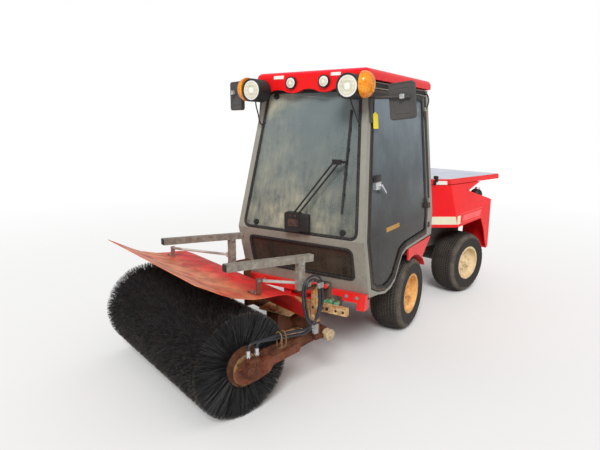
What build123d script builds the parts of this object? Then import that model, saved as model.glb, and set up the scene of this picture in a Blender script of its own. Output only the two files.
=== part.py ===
from build123d import *
import math
import os

os.makedirs("parts", exist_ok=True)

# Millimetres. X is the machine's left, Y is rearward, Z is up.
# The working origin is on the ground, under the middle of the front axle.

# wheels
tyre_radius = 297
tyre_width = 262
track_outer = 500
rim_radius = 150
rim_flange_radius = 166
rim_disc_inset = 62
rim_sheet = 6
hub_drum_radius = 95
hub_gap = 6
spindle_radius = 30
bore_gap = 1

# articulation
pivot_y = 750
rear_axle_y = 596
articulation_deg = 17.4
pin_radius = 20
clevis_plate = 16
lug_height = 84
clevis_gap = 4

# cab shell
cab_half_low = 500
cab_half_top = 403
cab_waist_z = 905
cab_top_z = 1900
cab_front_low_y = -845
cab_front_low_z = 500
cab_front_waist_y = -950
cab_front_top_y = -737
cab_rear_y = 400
cab_bottom_z = 455
post_depth = 34
post_width = 46
front_plate_depth = 20
glass_thick = 5
glass_inset = 8
glass_gap = 0.4
windshield_z = (cab_waist_z + 13, cab_top_z - 54)
windshield_side = 52
lower_window_z = (cab_waist_z - 273, cab_waist_z - 59)
lower_window_side = 92
rear_window_z = (cab_waist_z + 105, cab_top_z - 160)
rear_window_side = 80

# doors
door_rear_y = 282
door_gap = 6
door_thick = 26
door_rail = 30
hinge_out = 14
hinge_radius = 9
hinge_height = 44
hinge_heights = (cab_waist_z + 55, cab_top_z - 210)
handle_rise = 333

# roof
roof_half = 436
roof_front_y = -812
roof_rear_y = 414
roof_gap = 6
roof_low_z = cab_top_z + roof_gap
roof_height = 69
roof_top_z = roof_low_z + roof_height
roof_sheet = 10
roof_corner = 46
roof_edge = 40
visor_sheet = 24
visor_drop = 53
visor_mean_z = cab_top_z - visor_drop
visor_wave = 13
visor_wave_pitch = 245
headlamp_side = 74
headlamp_x = roof_half - headlamp_side
headlamp_reach = 143
headlamp_y = roof_front_y - headlamp_reach
headlamp_drop = 46
headlamp_z = cab_top_z - headlamp_drop
headlamp_radius = 66
headlamp_housing = 76
small_lamp_x = 127
small_lamp_z = cab_top_z
small_lamp_radius = 33
indicator_y = headlamp_y + 70
indicator_z = headlamp_z + 10
indicator_radius = 80
indicator_depth = 62
indicator_round = 56

# mirrors
mirror_out = 191
mirror_reach = roof_half + mirror_out
mirror_z = cab_top_z - 110

# floor and seat
floor_z = 480
floor_sheet = 6
arch_inner_x = 226
arch_rise = 112
arch_top_z = 2 * tyre_radius + arch_rise
seat_width = 430
seat_y = 60

# rear body
rear_half = 500
rear_front_y = 50
rear_low_y = 926
rear_leg_y = rear_low_y - 122
lid_rear_y = 1040
lid_top_z = 1150
lid_skirt = 48
body_low_z = 684
body_sheet = 9
lid_gap = 6
lid_hinge_y = 38
lid_hinge_z = lid_top_z - 54
lid_hinges = (-290, 250)

# tow jaw
tow_bore_radius = 12.5
tow_bore_y = rear_low_y + 29

# broom
swivel_y = -1150
swivel_deg = 18.0
brush_radius = 310
brush_core_radius = 90
brush_near = 304
brush_far = -1005
brush_forward = 488
brush_gap = 6
hood_near = 326
hood_far = -945
hood_sheet = 4
beam_radius = 38
beam_back = 86
beam_z = 365
end_plate = 10
bar_size = 40
bar_spacing = 738
bar_near = 357
bar_z = 878
bar_length = 580
hose_radius = 8.5
hose_ports = (-490, -434)
hose_port_z = 392
rod_near_x = 272
rod_far_x = -790
arm_plate_x = 338
far_plate_x = -1027

# lift arms
arm_pivot_y = -700
arm_pivot_z = 424
carrier_half = 410
lift_low = (-300, 300)
lift_high = (-860, 330)
lift_bore = 24
lift_rod = 14

# steering cylinder
steer_front = (185, 425)
steer_rear = (165, 180)
steer_z = 500
eye_half = 16
ear_throat = 50
steer_bore = 24
steer_rod = 13

nodes = {}


def slab(x0, x1, y0, y1, z0, z1):
    size = Box(abs(x1 - x0), abs(y1 - y0), abs(z1 - z0))
    return Pos((x0 + x1) / 2, (y0 + y1) / 2, (z0 + z1) / 2) * size


def rod_x(radius, x0, x1, y, z):
    return Pos((x0 + x1) / 2, y, z) * Rot(0, 90, 0) * Cylinder(radius, abs(x1 - x0))


def rod_y(radius, y0, y1, x, z):
    return Pos(x, (y0 + y1) / 2, z) * Rot(90, 0, 0) * Cylinder(radius, abs(y1 - y0))


def rod_z(radius, z0, z1, x, y):
    return Pos(x, y, (z0 + z1) / 2) * Cylinder(radius, abs(z1 - z0))


def bar_between(radius, start, end):
    line = Line(start, end)
    return extrude(Plane(origin=start, z_dir=(line % 0)) * Circle(radius), line.length)


def square_between(size, start, end, up=(0, 0, 1)):
    line = Line(start, end)
    along = line % 0
    side = Vector(*up).cross(along).normalized()
    plane = Plane(origin=start, x_dir=side, z_dir=along)
    return extrude(plane * Rectangle(size, size), line.length)


def prism_x(points, x0, x1):
    face = Plane.YZ * make_face(Polyline(*points, close=True))
    return Pos(x0, 0, 0) * extrude(face, x1 - x0)


def prism_y(points, y0, y1):
    face = Plane.XZ * make_face(Polyline(*points, close=True))
    return Pos(0, y0, 0) * extrude(face, -(y1 - y0))


def prism_z(points, z0, z1):
    face = make_face(Polyline(*points, close=True))
    return Pos(0, 0, z0) * extrude(face, z1 - z0)


def mirrored(shape):
    return shape + mirror(shape, about=Plane.YZ)


def fused(shapes):
    total = shapes[0]
    for shape in shapes[1:]:
        total = total + shape
    return total


def rear_place(shape):
    return Pos(0, pivot_y, 0) * Rot(0, 0, -articulation_deg) * shape


def broom_place(shape):
    return Pos(0, swivel_y, 0) * Rot(0, 0, -swivel_deg) * shape


# wheels

def tyre_shape():
    half = tyre_width / 2
    profile = [
        (-half + 12, rim_radius),
        (-half, rim_radius + 34),
        (-half, tyre_radius - 46),
        (-half + 24, tyre_radius - 14),
        (-half + 62, tyre_radius - 3),
        (0, tyre_radius),
        (half - 62, tyre_radius - 3),
        (half - 24, tyre_radius - 14),
        (half, tyre_radius - 46),
        (half, rim_radius + 34),
        (half - 12, rim_radius),
    ]
    face = make_face(Polyline(*profile, close=True))
    return revolve(face, Axis.X)


def rim_shape():
    half = tyre_width / 2
    barrel = rod_x(rim_radius - 0.3, -half + 10, half - 10, 0, 0)
    hollow = rod_x(rim_radius - rim_sheet, -half + 5, half - 5, 0, 0)
    rim = barrel - hollow
    for edge in (-1, 1):
        x0 = edge * (half - 10)
        flange = rod_x(rim_flange_radius, x0, x0 + edge * -8, 0, 0)
        flange = flange - rod_x(rim_radius - rim_sheet, x0 - 20, x0 + 20, 0, 0)
        rim = rim + flange
    return rim


def wheel_disc():
    half = tyre_width / 2
    disc_x = half - rim_disc_inset
    disc = rod_x(rim_radius - rim_sheet + 1, disc_x - 8, disc_x, 0, 0)
    dish = rod_x(82, disc_x - 1, disc_x + 12, 0, 0)
    disc = disc + dish
    hub = rod_x(44, disc_x - 8, disc_x + 34, 0, 0)
    disc = disc + hub
    bore = rod_x(spindle_radius + bore_gap, disc_x - 20, disc_x + 26, 0, 0)
    disc = disc - bore
    return disc


def wheel(side):
    tyre = tyre_shape()
    flange_groove = fused([
        rod_x(rim_flange_radius + 0.4, tyre_width / 2 - 19, tyre_width / 2 + 1, 0, 0),
        rod_x(rim_flange_radius + 0.4, -tyre_width / 2 - 1, -tyre_width / 2 + 19, 0, 0),
    ])
    tyre = tyre - flange_groove
    rim = rim_shape() + wheel_disc()
    if side < 0:
        tyre = mirror(tyre, about=Plane.YZ)
        rim = mirror(rim, about=Plane.YZ)
    centre_x = side * (track_outer - tyre_width / 2)
    return Pos(centre_x, 0, tyre_radius) * tyre, Pos(centre_x, 0, tyre_radius) * rim


def axle_shape():
    disc_x = track_outer - rim_disc_inset
    drum_end = disc_x - 8 - hub_gap
    tube = rod_x(48, -220, 220, 0, tyre_radius)
    drums = mirrored(rod_x(hub_drum_radius, 205, drum_end, 0, tyre_radius))
    spindles = mirrored(rod_x(spindle_radius, 205, disc_x + 20, 0, tyre_radius))
    pad = slab(-130, 130, -55, 55, tyre_radius + 20, tyre_radius + 63.7)
    return tube + drums + spindles + pad


# front unit

def cab_envelope(inset, low=cab_bottom_z, high=cab_top_z):
    def ring(z):
        if z < cab_waist_z:
            share = (cab_waist_z - z) / (cab_waist_z - cab_front_low_z)
            front = cab_front_waist_y + share * (cab_front_low_y - cab_front_waist_y)
            half = cab_half_low
        else:
            share = (z - cab_waist_z) / (cab_top_z - cab_waist_z)
            front = cab_front_waist_y + share * (cab_front_top_y - cab_front_waist_y)
            half = cab_half_low + share * (cab_half_top - cab_half_low)
        half = half - inset
        points = [
            (-half, front + inset, z),
            (half, front + inset, z),
            (half, cab_rear_y - inset, z),
            (-half, cab_rear_y - inset, z),
        ]
        return make_face(Polyline(*points, close=True))
    lower = loft([ring(low), ring(cab_waist_z)], ruled=True)
    upper = loft([ring(cab_waist_z), ring(high)], ruled=True)
    return lower + upper


def front_y(z):
    if z < cab_waist_z:
        share = (cab_waist_z - z) / (cab_waist_z - cab_front_low_z)
        return cab_front_waist_y + share * (cab_front_low_y - cab_front_waist_y)
    share = (z - cab_waist_z) / (cab_top_z - cab_waist_z)
    return cab_front_waist_y + share * (cab_front_top_y - cab_front_waist_y)


def half_x(z):
    if z < cab_waist_z:
        return cab_half_low
    share = (z - cab_waist_z) / (cab_top_z - cab_waist_z)
    return cab_half_low + share * (cab_half_top - cab_half_low)


arch_line = [(-577, 489), (-480, 500), (-400, 536), (-330, 630), (-277, arch_top_z - 9),
             (-200, arch_top_z + 16), (265, arch_top_z + 28)]


def door_outline(inset):
    post = post_width + inset
    top = cab_top_z - 44 - inset
    rear = door_rear_y - inset
    points = [
        (front_y(560) + post, 566 + inset),
        (front_y(cab_waist_z) + post, cab_waist_z),
        (front_y(top) + post, top),
        (rear, top),
        (rear, 740 + inset),
    ]
    for y, z in reversed(arch_line):
        if y < rear - 10:
            points.append((y - inset * 0.6 * (y < -260), z + inset))
    points.append((-700, 515 + inset))
    return points


def front_outline(z0, z1, side_inset, corner):
    points = [
        (-half_x(z0) + side_inset, z0),
        (half_x(z0) - side_inset, z0),
        (half_x(z1) - side_inset, z1),
        (-half_x(z1) + side_inset, z1),
    ]
    face = make_face(Polyline(*points, close=True))
    return fillet(face.vertices(), corner)


def front_cutter(z0, z1, side_inset, corner, y0=-1100, y1=-600):
    face = Plane.XZ * front_outline(z0, z1, side_inset, corner)
    return Pos(0, y0, 0) * extrude(face, -(y1 - y0))


def hinge_point(z):
    return (half_x(z) + hinge_out, door_rear_y, z)


def hinge_leaf(low, high, y0, y1):
    knuckle = bar_between(hinge_radius, hinge_point(low), hinge_point(high))
    points = [
        (half_x(low) - 4, low), (half_x(low) + hinge_out + 4, low),
        (half_x(high) + hinge_out + 4, high), (half_x(high) - 4, high),
    ]
    return knuckle + prism_y(points, y0, y1)


def cab_frame():
    shell = cab_envelope(0) - cab_envelope(post_depth, cab_bottom_z - 10, cab_top_z + 10)
    shell = shell - front_cutter(*windshield_z, windshield_side, 46)
    shell = shell - front_cutter(*lower_window_z, lower_window_side, 40)
    rear_hole = front_cutter(*rear_window_z, rear_window_side, 40, 300, 500)
    shell = shell - rear_hole
    door_hole = prism_x(door_outline(0), 200, 600)
    shell = shell - door_hole - mirror(door_hole, about=Plane.YZ)
    under = [(-1000, 400), (-1000, 540), (-700, 497), (-577, 470)]
    for y, z in arch_line[1:]:
        under.append((y + 6, z - 20))
    under.append((420, arch_top_z + 8))
    under.append((420, 400))
    arch = prism_x(under, -600, 600)
    shell = shell - arch
    for low in hinge_heights:
        base = low + hinge_height + 1
        leaf = hinge_leaf(base, base + 30, door_rear_y + 3, door_rear_y + 40)
        shell = shell + leaf + mirror(leaf, about=Plane.YZ)
    return shell


def cab_layer(inset, thick):
    low = cab_bottom_z
    return cab_envelope(inset, low + 5, cab_top_z - 5) - cab_envelope(inset + thick, low, cab_top_z - 1)


def pane(z_range, side, corner, y0=-1100, y1=-600):
    layer = cab_layer(glass_inset, glass_thick)
    return layer & front_cutter(z_range[0] + glass_gap, z_range[1] - glass_gap, side + glass_gap, corner, y0, y1)


def door_parts(side):
    reach = cab_half_low + 60
    leaf = cab_layer(0, door_thick) & prism_x(door_outline(door_gap), 300, reach)
    window = prism_x(door_outline(door_gap + door_rail), 300, reach)
    frame = leaf - window
    for low in hinge_heights:
        frame = frame + hinge_leaf(low, low + hinge_height, door_rear_y - 40, door_rear_y - 3)
    pane_edge = prism_x(door_outline(door_gap + door_rail + glass_gap), 300, reach)
    glass = cab_layer(glass_inset, glass_thick) & pane_edge
    handle_z = cab_waist_z + handle_rise
    handle_x = half_x(handle_z)
    plate = slab(handle_x - glass_inset + 0.4, handle_x + 16, -752, -672, handle_z - 24, handle_z + 24)
    spindle = rod_x(10, handle_x + 10, handle_x + 34, -690, handle_z)
    lever = square_between(13, (handle_x + 28, -696, handle_z + 4), (handle_x + 22, -606, handle_z - 56))
    handle = fused([plate, spindle, lever])
    layer = cab_envelope(glass_inset - 0.4, cab_bottom_z + 5, cab_top_z - 5)
    handle = handle - layer - frame
    if side < 0:
        frame = mirror(frame, about=Plane.YZ)
        glass = mirror(glass, about=Plane.YZ)
        handle = mirror(handle, about=Plane.YZ)
    return frame, glass, handle


def visor_plate():
    quarter = visor_wave_pitch / 4
    edges = []
    for step in (-5, -3, -1, 1, 3):
        rise = visor_wave if step % 4 == 3 else -visor_wave
        edges.append(ThreePointArc((step * quarter, visor_mean_z),
                                   ((step + 1) * quarter, visor_mean_z + rise),
                                   ((step + 2) * quarter, visor_mean_z)))
    edges.append(Polyline((5 * quarter, visor_mean_z), (roof_half + 5, visor_mean_z), (roof_half + 5, roof_low_z + 20),
                          (-roof_half - 5, roof_low_z + 20), (-roof_half - 5, visor_mean_z),
                          (-5 * quarter, visor_mean_z)))
    face = Plane.XZ * make_face(Curve() + edges)
    return Pos(0, roof_front_y - 5, 0) * extrude(face, -(visor_sheet + 5))


def roof_shell():
    outline = slab(-roof_half, roof_half, roof_front_y, roof_rear_y, 1700, roof_top_z)
    outline = fillet(outline.edges().filter_by(Axis.Z), roof_corner)
    outline = fillet(outline.faces().sort_by(Axis.Z)[-1].edges(), roof_edge)
    ceiling = roof_top_z - roof_sheet - 8
    deck = slab(-roof_half - 5, roof_half + 5, roof_front_y - 5, roof_rear_y + 5, roof_low_z, roof_top_z + 5)
    hollow = slab(-roof_half + roof_sheet, roof_half - roof_sheet, roof_front_y + visor_sheet,
                  roof_rear_y - roof_sheet, roof_low_z - 1, ceiling)
    body = outline & (deck - hollow + visor_plate())
    front_pad = slab(-360, 360, cab_front_top_y + 4, cab_front_top_y + 30, cab_top_z + 0.2, ceiling + 2)
    rear_pad = slab(-360, 360, cab_rear_y - 30, cab_rear_y - 4, cab_top_z + 0.2, ceiling + 2)
    return body + front_pad + rear_pad


def headlamps():
    lamps = []
    back = roof_front_y - 0.3
    for x in (-headlamp_x, headlamp_x):
        housing = rod_y(headlamp_housing, headlamp_y, back, x, headlamp_z)
        housing = fillet(housing.faces().sort_by(Axis.Y)[-1].edges(), 24)
        housing = housing - rod_y(headlamp_radius, headlamp_y - 1, headlamp_y + 14, x, headlamp_z)
        lamps.append(housing)
    for x in (-small_lamp_x, small_lamp_x):
        bezel = rod_y(small_lamp_radius + 8, roof_front_y - 16, back, x, small_lamp_z)
        lamps.append(bezel - rod_y(small_lamp_radius, roof_front_y - 17, roof_front_y - 8, x, small_lamp_z))
    return Compound(children=lamps)


def lamp_lenses():
    lenses = []
    for x in (-headlamp_x, headlamp_x):
        lenses.append(rod_y(headlamp_radius - 0.4, headlamp_y + 4, headlamp_y + 13.6, x, headlamp_z))
    for x in (-small_lamp_x, small_lamp_x):
        lenses.append(rod_y(small_lamp_radius - 0.4, roof_front_y - 14, roof_front_y - 8.4, x, small_lamp_z))
    return Compound(children=lenses)


def indicators():
    domes = []
    for side in (-1, 1):
        inner = side * (headlamp_x + headlamp_housing + 0.4)
        outer = inner + side * indicator_depth
        dome = rod_x(indicator_radius, min(inner, outer), max(inner, outer), indicator_y, indicator_z)
        faces = dome.faces().sort_by(Axis.X)
        dome = fillet(faces[-1 if side > 0 else 0].edges(), indicator_round)
        domes.append(dome)
    return Compound(children=domes)


def mirror_foot():
    low = cab_top_z - 260
    high = cab_top_z - 82
    gap = 0.3
    points = [(half_x(low) + gap, low), (half_x(low) + 16, low), (half_x(high) + 16, high), (half_x(high) + gap, high)]
    return prism_y(points, -764, -738)


def mirror_left():
    head = Box(160, 26, 218)
    head = fillet(head.edges().filter_by(Axis.Y), 20)
    head = Pos(mirror_reach + 24, -790, mirror_z - 23) * Rot(0, -6, 0) * head
    arm = bar_between(8, (half_x(mirror_z) + 12.8, -752, mirror_z), (mirror_reach + 41, -772, mirror_z))
    foot = mirror_foot()
    knuckle = Pos(mirror_reach + 13, -772, mirror_z) * Box(40, 24, 26)
    return fused([head, arm, foot, knuckle])


def mirror_right():
    head = Box(158, 26, 200)
    head = fillet(head.edges().filter_by(Axis.Y), 20)
    head = Pos(-mirror_reach + 29, -812, mirror_z + 38) * Rot(0, 0, -20) * head
    arm = bar_between(8, (-half_x(mirror_z) - 12.8, -752, mirror_z), (-mirror_reach + 31, -800, mirror_z + 16))
    return fused([head, arm, mirror(mirror_foot(), about=Plane.YZ)])


def wiper():
    foot_z = cab_waist_z + 135
    tip_z = cab_waist_z + 495
    foot_y = front_y(foot_z) - 63.9
    tip_y = front_y(tip_z) - 68
    box_part = slab(-60, 60, foot_y - 19, foot_y + 23, foot_z - 110, foot_z + 20)
    box_part = fillet(box_part.edges().filter_by(Axis.Y)[:], 18)
    arm_low = bar_between(6, (-8, foot_y, foot_z), (262, tip_y, tip_z))
    arm_high = bar_between(6, (30, foot_y, foot_z), (296, tip_y, tip_z - 8))
    link = slab(250, 312, tip_y - 8, tip_y + 4, tip_z - 20, tip_z + 12)
    low_z = foot_z + 33
    high_z = tip_z + 319
    blade = square_between(12, (346, front_y(low_z) - 44, low_z), (322, front_y(high_z) - 30, high_z))
    stub = slab(296, 342, tip_y + 2, tip_y + 32, tip_z - 12, tip_z + 4)
    return fused([box_part, arm_low, arm_high, link, blade, stub])


def floor_tub():
    rear = cab_rear_y - post_depth - 2
    floor = slab(-arch_inner_x, arch_inner_x, -799, rear, floor_z - floor_sheet, floor_z)
    left = cab_half_low - post_depth - 1
    front = slab(-left, left, -799, -600, floor_z - floor_sheet, floor_z)
    arch = [(-606, floor_z - 6), (-440, 520), (-336, 700), (-326, arch_top_z), (rear, arch_top_z),
            (rear, arch_top_z - 6), (-323, arch_top_z - 6), (-330, 694), (-432, 514), (-600, floor_z - 12)]
    cover = prism_x(arch, arch_inner_x - 6, left)
    wall = prism_x([(-606, floor_z - 6), (-440, 520), (-336, 700), (-326, arch_top_z), (rear, arch_top_z),
                    (rear, floor_z - 6)], arch_inner_x - 6, arch_inner_x)
    back = slab(-arch_inner_x, arch_inner_x, rear - floor_sheet, rear, floor_z - floor_sheet, arch_top_z)
    return floor + front + back + mirrored(cover + wall)


def front_chassis():
    rails = mirrored(slab(90, 130, -840, 560, tyre_radius + 64, tyre_radius + 150))
    cross = fused([
        slab(-130, 130, -640, -600, tyre_radius + 64, tyre_radius + 150),
        slab(-130, 130, -60, 60, tyre_radius + 64, tyre_radius + 90),
        slab(-130, 130, 500, 560, tyre_radius + 64, tyre_radius + 150),
    ])
    mid = tyre_radius + 107
    top0 = mid + lug_height / 2 + clevis_gap
    low0 = mid - lug_height / 2 - clevis_gap
    ears = []
    for z0 in (top0, low0 - clevis_plate):
        ear = slab(-70, 70, 540, pivot_y, z0, z0 + clevis_plate)
        ear = ear + rod_z(70, z0, z0 + clevis_plate, 0, pivot_y)
        ears.append(ear)
    neck = slab(-70, 70, 540, 600, low0 - clevis_plate, top0 + clevis_plate)
    beam = slab(-500, 500, -905, -864, 487, 546)
    hangers = mirrored(slab(88, 150, -880, -800, tyre_radius + 120, 500))
    posts = mirrored(slab(150, 210, 330, 390, tyre_radius + 90, floor_z - floor_sheet - 0.3))
    tie = mirrored(slab(100, 210, 330, 390, tyre_radius + 64, tyre_radius + 110))
    steps = mirrored(slab(440, 495, -905, -840, 440, 500))
    anchor = mirrored(slab(24, 34, -360, -60, 266, 380))
    steer_foot = slab(90, 215, 425, 500, tyre_radius + 130, 470)
    steer_lug = slab(150, 220, 405, 445, 440, 472) + rod_z(20, 440, 472, steer_front[0], steer_front[1])
    steer_pin = rod_z(10, 440, steer_z + 30, steer_front[0], steer_front[1])
    frame = fused([rails, cross, ears[0], ears[1], neck, beam, hangers, posts, tie, steps, anchor,
                   steer_foot, steer_lug, steer_pin])
    frame = frame - rod_x(17, -140, 140, arm_pivot_y, arm_pivot_z)
    frame = frame - rod_z(pin_radius + 0.3, 300, 500, 0, pivot_y)
    return frame + rod_x(10, -34, 34, lift_low[0], lift_low[1])


def pivot_pin():
    mid = tyre_radius + 107
    reach = lug_height / 2 + clevis_gap + clevis_plate + 14
    return rod_z(pin_radius, mid - reach, mid + reach, 0, pivot_y)


def front_fenders():
    skirt = prism_x([(-120, 600), (-120, 696), (395, 696), (395, 690), (216, 566), (160, 540)], 484, 497)
    skirt = skirt - rod_x(tyre_radius + 20, 470, 510, 0, tyre_radius)
    guard = rod_x(tyre_radius + 34, 236, 497, 0, tyre_radius) - rod_x(tyre_radius + 28, 230, 500, 0, tyre_radius)
    guard = guard & slab(230, 500, 120, 400, 470, 696)
    return skirt + guard


def console():
    column = slab(-90, 90, -780, -680, floor_z + 0.3, 810)
    dash = slab(-170, 170, -800, -660, 800, 870)
    stem = place_wheel(Pos(0, 0, -118) * Cylinder(20, 200))
    return column + dash + stem


def seat_base():
    return slab(-190, 190, -80, 330, floor_z + 0.3, 786)


def seat_cushion():
    pad = slab(-seat_width / 2, seat_width / 2, -110, 270, 786.3, 880)
    return fillet(pad.edges(), 24)


def seat_back():
    pad = slab(-seat_width / 2, seat_width / 2, -42, 42, 0, 520)
    pad = fillet(pad.edges(), 24)
    return Pos(0, 300, 884) * Rot(6, 0, 0) * pad


def steering_wheel():
    ring = revolve(Plane.XZ * Pos(165, 0) * RegularPolygon(12.5, 8), Axis.Z)
    spokes = Box(320, 26, 10) + Box(26, 320, 10)
    hub = Cylinder(32, 24)
    return ring + spokes + hub - Pos(0, 0, -10) * Cylinder(22, 12)


wheel_tilt = -30
wheel_centre = (0, -560, 985)


def place_wheel(shape):
    return Pos(*wheel_centre) * Rot(wheel_tilt, 0, 0) * shape


# rear unit, in its own frame: Y is rearward from the articulation pin

def steer_ears(rail_top):
    x, y = steer_rear
    low = steer_z - eye_half - 1.5
    high = steer_z + eye_half + 1.5
    back = y + ear_throat
    lower = slab(112, x + 38, y - 34, back + 12, low - 10, low)
    upper = slab(x - 38, x + 38, y - 34, back + 12, high, high + 10)
    web = slab(x - 38, x + 38, back, back + 12, low - 10, high + 10)
    foot = slab(112, 130, y - 34, back + 12, rail_top - 4, low)
    heads = [rod_z(15, high + 10, high + 21, x, y), rod_z(15, low - 22, low - 10, x, y)]
    return fused([lower, upper, web, foot, *heads])


def rear_chassis():
    mid = tyre_radius + 107
    lug = rod_z(66, mid - lug_height / 2, mid + lug_height / 2, 0, 0)
    lug = lug + slab(-66, 66, 0, 90, mid - lug_height / 2, mid + lug_height / 2)
    bore = rod_z(pin_radius + bore_gap, mid - 100, mid + 100, 0, 0)
    lug = lug - bore
    rails = mirrored(slab(90, 130, 70, 890, tyre_radius + 64, tyre_radius + 150))
    cross = fused([
        slab(-130, 130, 70, 110, tyre_radius + 64, tyre_radius + 150),
        slab(-130, 130, rear_axle_y - 60, rear_axle_y + 60, tyre_radius + 64, tyre_radius + 90),
        slab(-225, 225, 850, 890, tyre_radius + 64, tyre_radius + 150),
    ])
    return fused([lug, rails, cross, steer_ears(tyre_radius + 150)])


def tow_hitch():
    plate = slab(-60, 60, 891, 905, 330, 470)
    jaw_top = slab(-40, 40, 905, 985, 424, 440)
    jaw_low = slab(-40, 40, 905, 985, 360, 376)
    bore = rod_z(tow_bore_radius, 340, 462, 0, tow_bore_y)
    return plate + jaw_top + jaw_low - bore


def chamfer_cutter():
    def ring(z):
        bend = 178 + 0.3834 * (lid_top_z + 14 - z)
        front_x = rear_half + (-128 + 0.3834 * (z - lid_top_z - 14)) / 1.2355
        slope = (bend - rear_front_y) / (rear_half - front_x)
        far_x = rear_half + 60
        far_y = bend + 60 * slope
        near_x = front_x - 60
        near_y = rear_front_y - 60 * slope
        points = [(far_x, far_y, z), (near_x, near_y, z), (far_x, near_y, z)]
        return make_face(Polyline(*points, close=True))
    return loft([ring(600), ring(lid_top_z + 150)], ruled=True)


def rear_outer(inset):
    profile = [
        (rear_front_y + inset, lid_top_z - lid_skirt - lid_gap - (inset > 0) * -40),
        (690, lid_top_z - lid_skirt - lid_gap - (inset > 0) * -40),
        (495 + inset, lid_top_z - 127),
        (rear_low_y - inset, lid_top_z - 247 - inset * 1.2),
        (rear_low_y - inset, 421),
        (rear_low_y - 26, 400),
        (rear_leg_y, body_low_z - 60),
        (rear_front_y + inset, body_low_z - 60),
    ]
    return prism_x(profile, -rear_half + inset, rear_half - inset)


def rear_body():
    shell = rear_outer(0)
    cut = chamfer_cutter()
    shell = shell - cut - mirror(cut, about=Plane.YZ)
    inner = rear_outer(body_sheet)
    inner_cut = Pos(-body_sheet * 1.3, 0, 0) * cut
    inner = inner - inner_cut - mirror(inner_cut, about=Plane.YZ)
    shell = shell - inner
    well = mirrored(rod_x(tyre_radius + 26, 214, 520, rear_axle_y, tyre_radius))
    low = slab(-600, 600, 0, rear_axle_y, 0, body_low_z)
    mid = slab(-212, 212, 0, 2000, 0, body_low_z)
    arch = [(300, 300), (336, body_low_z), (rear_low_y - 165, body_low_z + 43), (rear_low_y - 96, 600),
            (rear_low_y - 30, 400), (rear_low_y - 30, 300)]
    side = mirrored(prism_x(arch, 205, rear_half + 100))
    shell = shell - well - low - mid - side
    for x in lid_hinges:
        knuckle = rod_x(8, x + 41, x + 81, lid_hinge_y, lid_hinge_z)
        leaf = slab(x + 41, x + 81, lid_hinge_y + 1, rear_front_y + 2, lid_hinge_z - 36, lid_hinge_z)
        shell = shell + knuckle + leaf
    return shell


def engine():
    return slab(-190, 190, 262, 652, tyre_radius + 151, lid_top_z - 190)


def bonnet_floor():
    return slab(-185, 185, 660, 880, tyre_radius + 151, 700)


def rear_lid():
    profile = [
        (rear_front_y, lid_top_z - lid_skirt),
        (690, lid_top_z - lid_skirt),
        (lid_rear_y, lid_top_z - lid_skirt + 2),
        (lid_rear_y - 6, lid_top_z),
        (rear_front_y, lid_top_z),
    ]
    outer = prism_x(profile, -rear_half, rear_half)
    cut = chamfer_cutter()
    outer = outer - cut - mirror(cut, about=Plane.YZ)
    hollow = slab(-rear_half + 40, rear_half - 40, rear_front_y + 140, lid_rear_y - 20, lid_top_z - 150, lid_top_z - 8)
    lid = outer - hollow
    for x in lid_hinges:
        knuckle = rod_x(8, x, x + 40, lid_hinge_y, lid_hinge_z)
        arm = slab(x, x + 40, lid_hinge_y + 1, rear_front_y - 2, lid_hinge_z, lid_top_z - 22)
        foot = slab(x, x + 40, rear_front_y - 4, rear_front_y + 4, lid_top_z - lid_skirt + 2, lid_top_z - 22)
        lid = lid + knuckle + arm + foot
    return lid


def rear_lamps():
    lamps = mirrored(slab(390, 470, rear_low_y + 0.3, rear_low_y + 26, 760, 840))
    return lamps


def filler():
    seat_z = lid_top_z - 188.4
    neck = bar_between(24, (330, 720.3, seat_z), (330, 728, seat_z + 27.4))
    cap = bar_between(38, (330, 728, seat_z + 27.4), (330, 735, seat_z + 52.4))
    return neck + cap


# broom, in its own frame: X is towards the machine's left, -Y is forward

def end_arm(x0):
    axis_y = -brush_forward
    spine = [(axis_y + 20, brush_radius - 92), (axis_y - 60, brush_radius + 70), (axis_y + 150, 396),
             (-70, 412), (86, 402), (98, 352), (-60, 332), (axis_y + 110, brush_radius - 50)]
    plate = prism_x(spine, x0, x0 + end_plate)
    plate = plate + rod_x(92, x0, x0 + end_plate, axis_y, brush_radius)
    return plate


def broom_frame():
    beam = rod_x(beam_radius, far_plate_x, arm_plate_x + 22, beam_back, beam_z)
    block = slab(-62, 62, -62, 86, 306, 424)
    bore = rod_z(25 + bore_gap, 280, 460, 0, 0)
    frame = beam + block - bore
    parts = [frame]
    for x0 in (arm_plate_x, far_plate_x):
        arm = end_arm(x0)
        hole = rod_x(22, x0 - 5, x0 + end_plate + 5, -brush_forward, brush_radius)
        parts.append(arm - hole)
    for x in (bar_near, bar_near - bar_spacing):
        riser = slab(x - 20, x + 20, -16, 20, beam_z, 692)
        heel = slab(x - 20, x + 20, -16, 86, beam_z - 12, beam_z + 12)
        shelf = slab(x - 20, x + 20, -146, 20, 682, 692)
        parts.append(riser + heel + shelf)
    return fused(parts)


def bristle_guard():
    disc = rod_x(118, arm_plate_x - 8.4, arm_plate_x - 0.4, -brush_forward, brush_radius + 14)
    bore = rod_x(24, arm_plate_x - 20, arm_plate_x + 10, -brush_forward, brush_radius)
    return disc - bore


def hood_profile(offset):
    points = [(-31, 475), (-52, 530), (-84, 590), (-137, 642), (-195, 668), (-260, 677), (-337, 680),
              (-423, 690), (-543, 723), (-620, 760), (-695, 802), (-768, 842)]
    back = []
    for index, (y, z) in enumerate(points):
        before = points[max(index - 1, 0)]
        after = points[min(index + 1, len(points) - 1)]
        run = math.hypot(after[0] - before[0], after[1] - before[1])
        normal_y = (after[1] - before[1]) / run
        normal_z = -(after[0] - before[0]) / run
        back.append((y + normal_y * offset, z + normal_z * offset))
    return points + back[::-1]


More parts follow.
